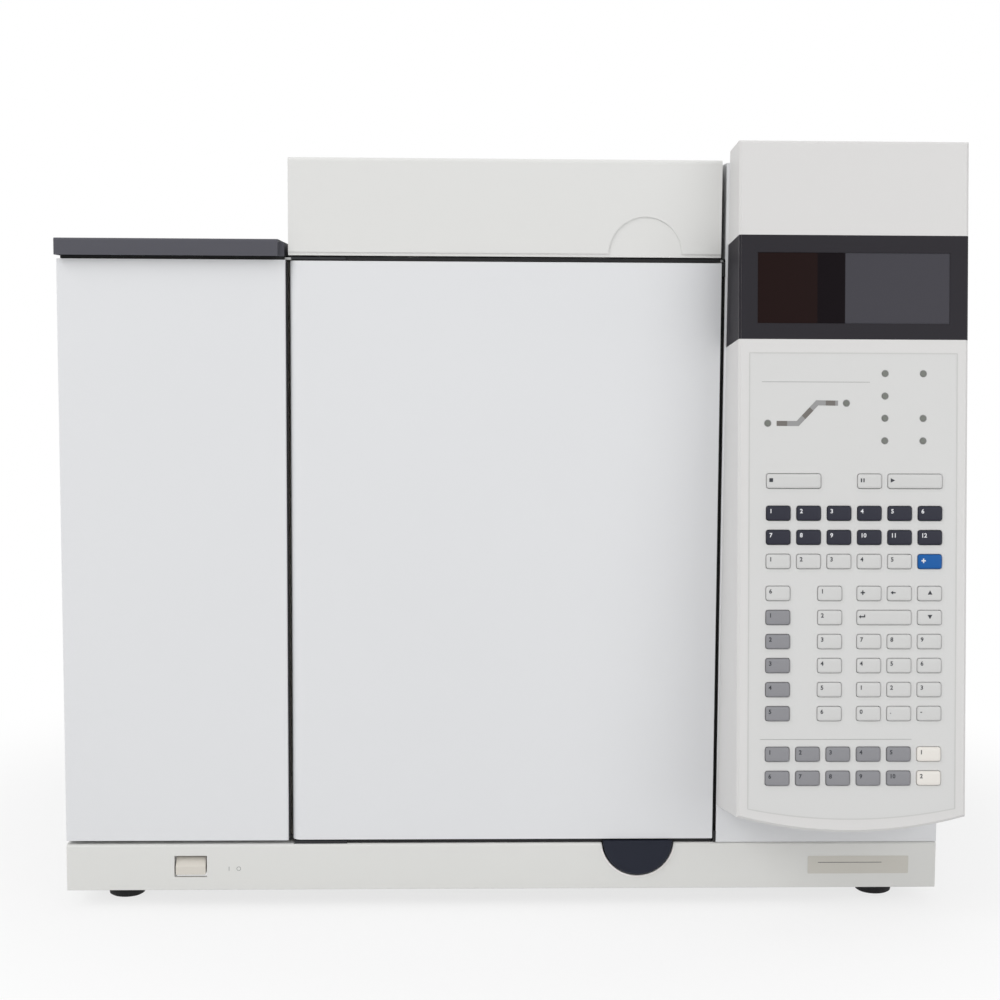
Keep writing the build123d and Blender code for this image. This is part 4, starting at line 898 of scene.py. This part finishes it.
def build_floor():
    """A pale floor that keeps the shadow and fades to plain white away from the object."""
    mesh = bpy.data.meshes.new("floor")
    half = 8.0
    corners = [(-half, -half, 0), (half, -half, 0), (half, half, 0), (-half, half, 0)]
    mesh.from_pydata(corners, [], [(0, 1, 2, 3)])
    floor = bpy.data.objects.new("floor", mesh)
    bpy.context.scene.collection.objects.link(floor)
    material = bpy.data.materials.new("floor_white")
    material.use_nodes = True
    tree = material.node_tree
    shader = tree.nodes["Principled BSDF"]
    shader.inputs["Base Color"].default_value = (0.8, 0.8, 0.8, 1)
    shader.inputs["Roughness"].default_value = 0.9
    shader.inputs["Specular IOR Level"].default_value = 0.1
    shader.inputs["Emission Color"].default_value = (1, 1, 1, 1)
    shader.inputs["Emission Strength"].default_value = 0.0
    white = tree.nodes.new("ShaderNodeEmission")
    coordinates = tree.nodes.new("ShaderNodeTexCoord")
    distance = tree.nodes.new("ShaderNodeVectorMath")
    distance.operation = "LENGTH"
    tree.links.new(coordinates.outputs["Object"], distance.inputs[0])
    fade = tree.nodes.new("ShaderNodeMapRange")
    fade.interpolation_type = "SMOOTHSTEP"
    fade.inputs["From Min"].default_value = 0.3
    fade.inputs["From Max"].default_value = 0.62
    fade.inputs["To Min"].default_value = FLOOR_LIFT
    tree.links.new(distance.outputs["Value"], fade.inputs["Value"])
    share = tree.nodes.new("ShaderNodeMath")
    share.operation = "MULTIPLY"
    tree.links.new(fade.outputs["Result"], share.inputs[0])
    tree.links.new(white_for_camera(tree), share.inputs[1])
    mix = tree.nodes.new("ShaderNodeMixShader")
    tree.links.new(share.outputs[0], mix.inputs[0])
    tree.links.new(shader.outputs[0], mix.inputs[1])
    tree.links.new(white.outputs[0], mix.inputs[2])
    tree.links.new(mix.outputs[0], tree.nodes["Material Output"].inputs["Surface"])
    mesh.materials.append(material)


def area_lamp(name, place, target, size, watts):
    data = bpy.data.lights.new(name, "AREA")
    data.shape = "DISK"
    data.size = size
    data.energy = watts
    lamp = bpy.data.objects.new(name, data)
    lamp.location = place
    lamp.rotation_euler = (Vector(target) - Vector(place)).to_track_quat("-Z", "Y").to_euler()
    bpy.context.scene.collection.objects.link(lamp)


CAMERA_PLACE = Vector((-42.2516, -1402.8663, 390.3718))
CAMERA_YAW = -0.0317301
CAMERA_PITCH = -0.0975213
CAMERA_ROLL = 0.0054080
FOCAL_PER_WIDTH = 1.8434519
WORLD_LIGHT = 0.56
FLOOR_LIFT = 0.75


def build_camera():
    yaw, pitch, roll = CAMERA_YAW, CAMERA_PITCH, CAMERA_ROLL
    spin = Matrix(((math.cos(yaw), math.sin(yaw), 0), (-math.sin(yaw), math.cos(yaw), 0), (0, 0, 1)))
    nod = Matrix(((1, 0, 0), (0, math.cos(pitch), math.sin(pitch)), (0, -math.sin(pitch), math.cos(pitch))))
    back = spin.transposed() @ nod.transposed()
    forward = back @ Vector((0, 1, 0))
    right = back @ Vector((math.cos(roll), 0, math.sin(roll)))
    up = back @ Vector((-math.sin(roll), 0, math.cos(roll)))
    data = bpy.data.cameras.new("camera")
    data.sensor_width = 36.0
    data.lens = 36.0 * FOCAL_PER_WIDTH
    data.clip_end = 50.0
    camera = bpy.data.objects.new("camera", data)
    turn = Matrix((right, up, -forward)).transposed().to_4x4()
    camera.matrix_world = Matrix.Translation(CAMERA_PLACE * MM) @ turn
    bpy.context.scene.collection.objects.link(camera)
    bpy.context.scene.camera = camera


build_world()
build_floor()
area_lamp("key_light", (-1.8, -1.65, 2.0), (0, 0, 0.25), 1.8, 30.5)
area_lamp("fill_light", (1.5, -2.0, 0.8), (0, 0, 0.25), 2.0, 14)
area_lamp("top_light", (0.1, 0.3, 2.6), (0, 0, 0.3), 2.0, 7)
build_camera()
bpy.context.scene.view_settings.view_transform = "Standard"
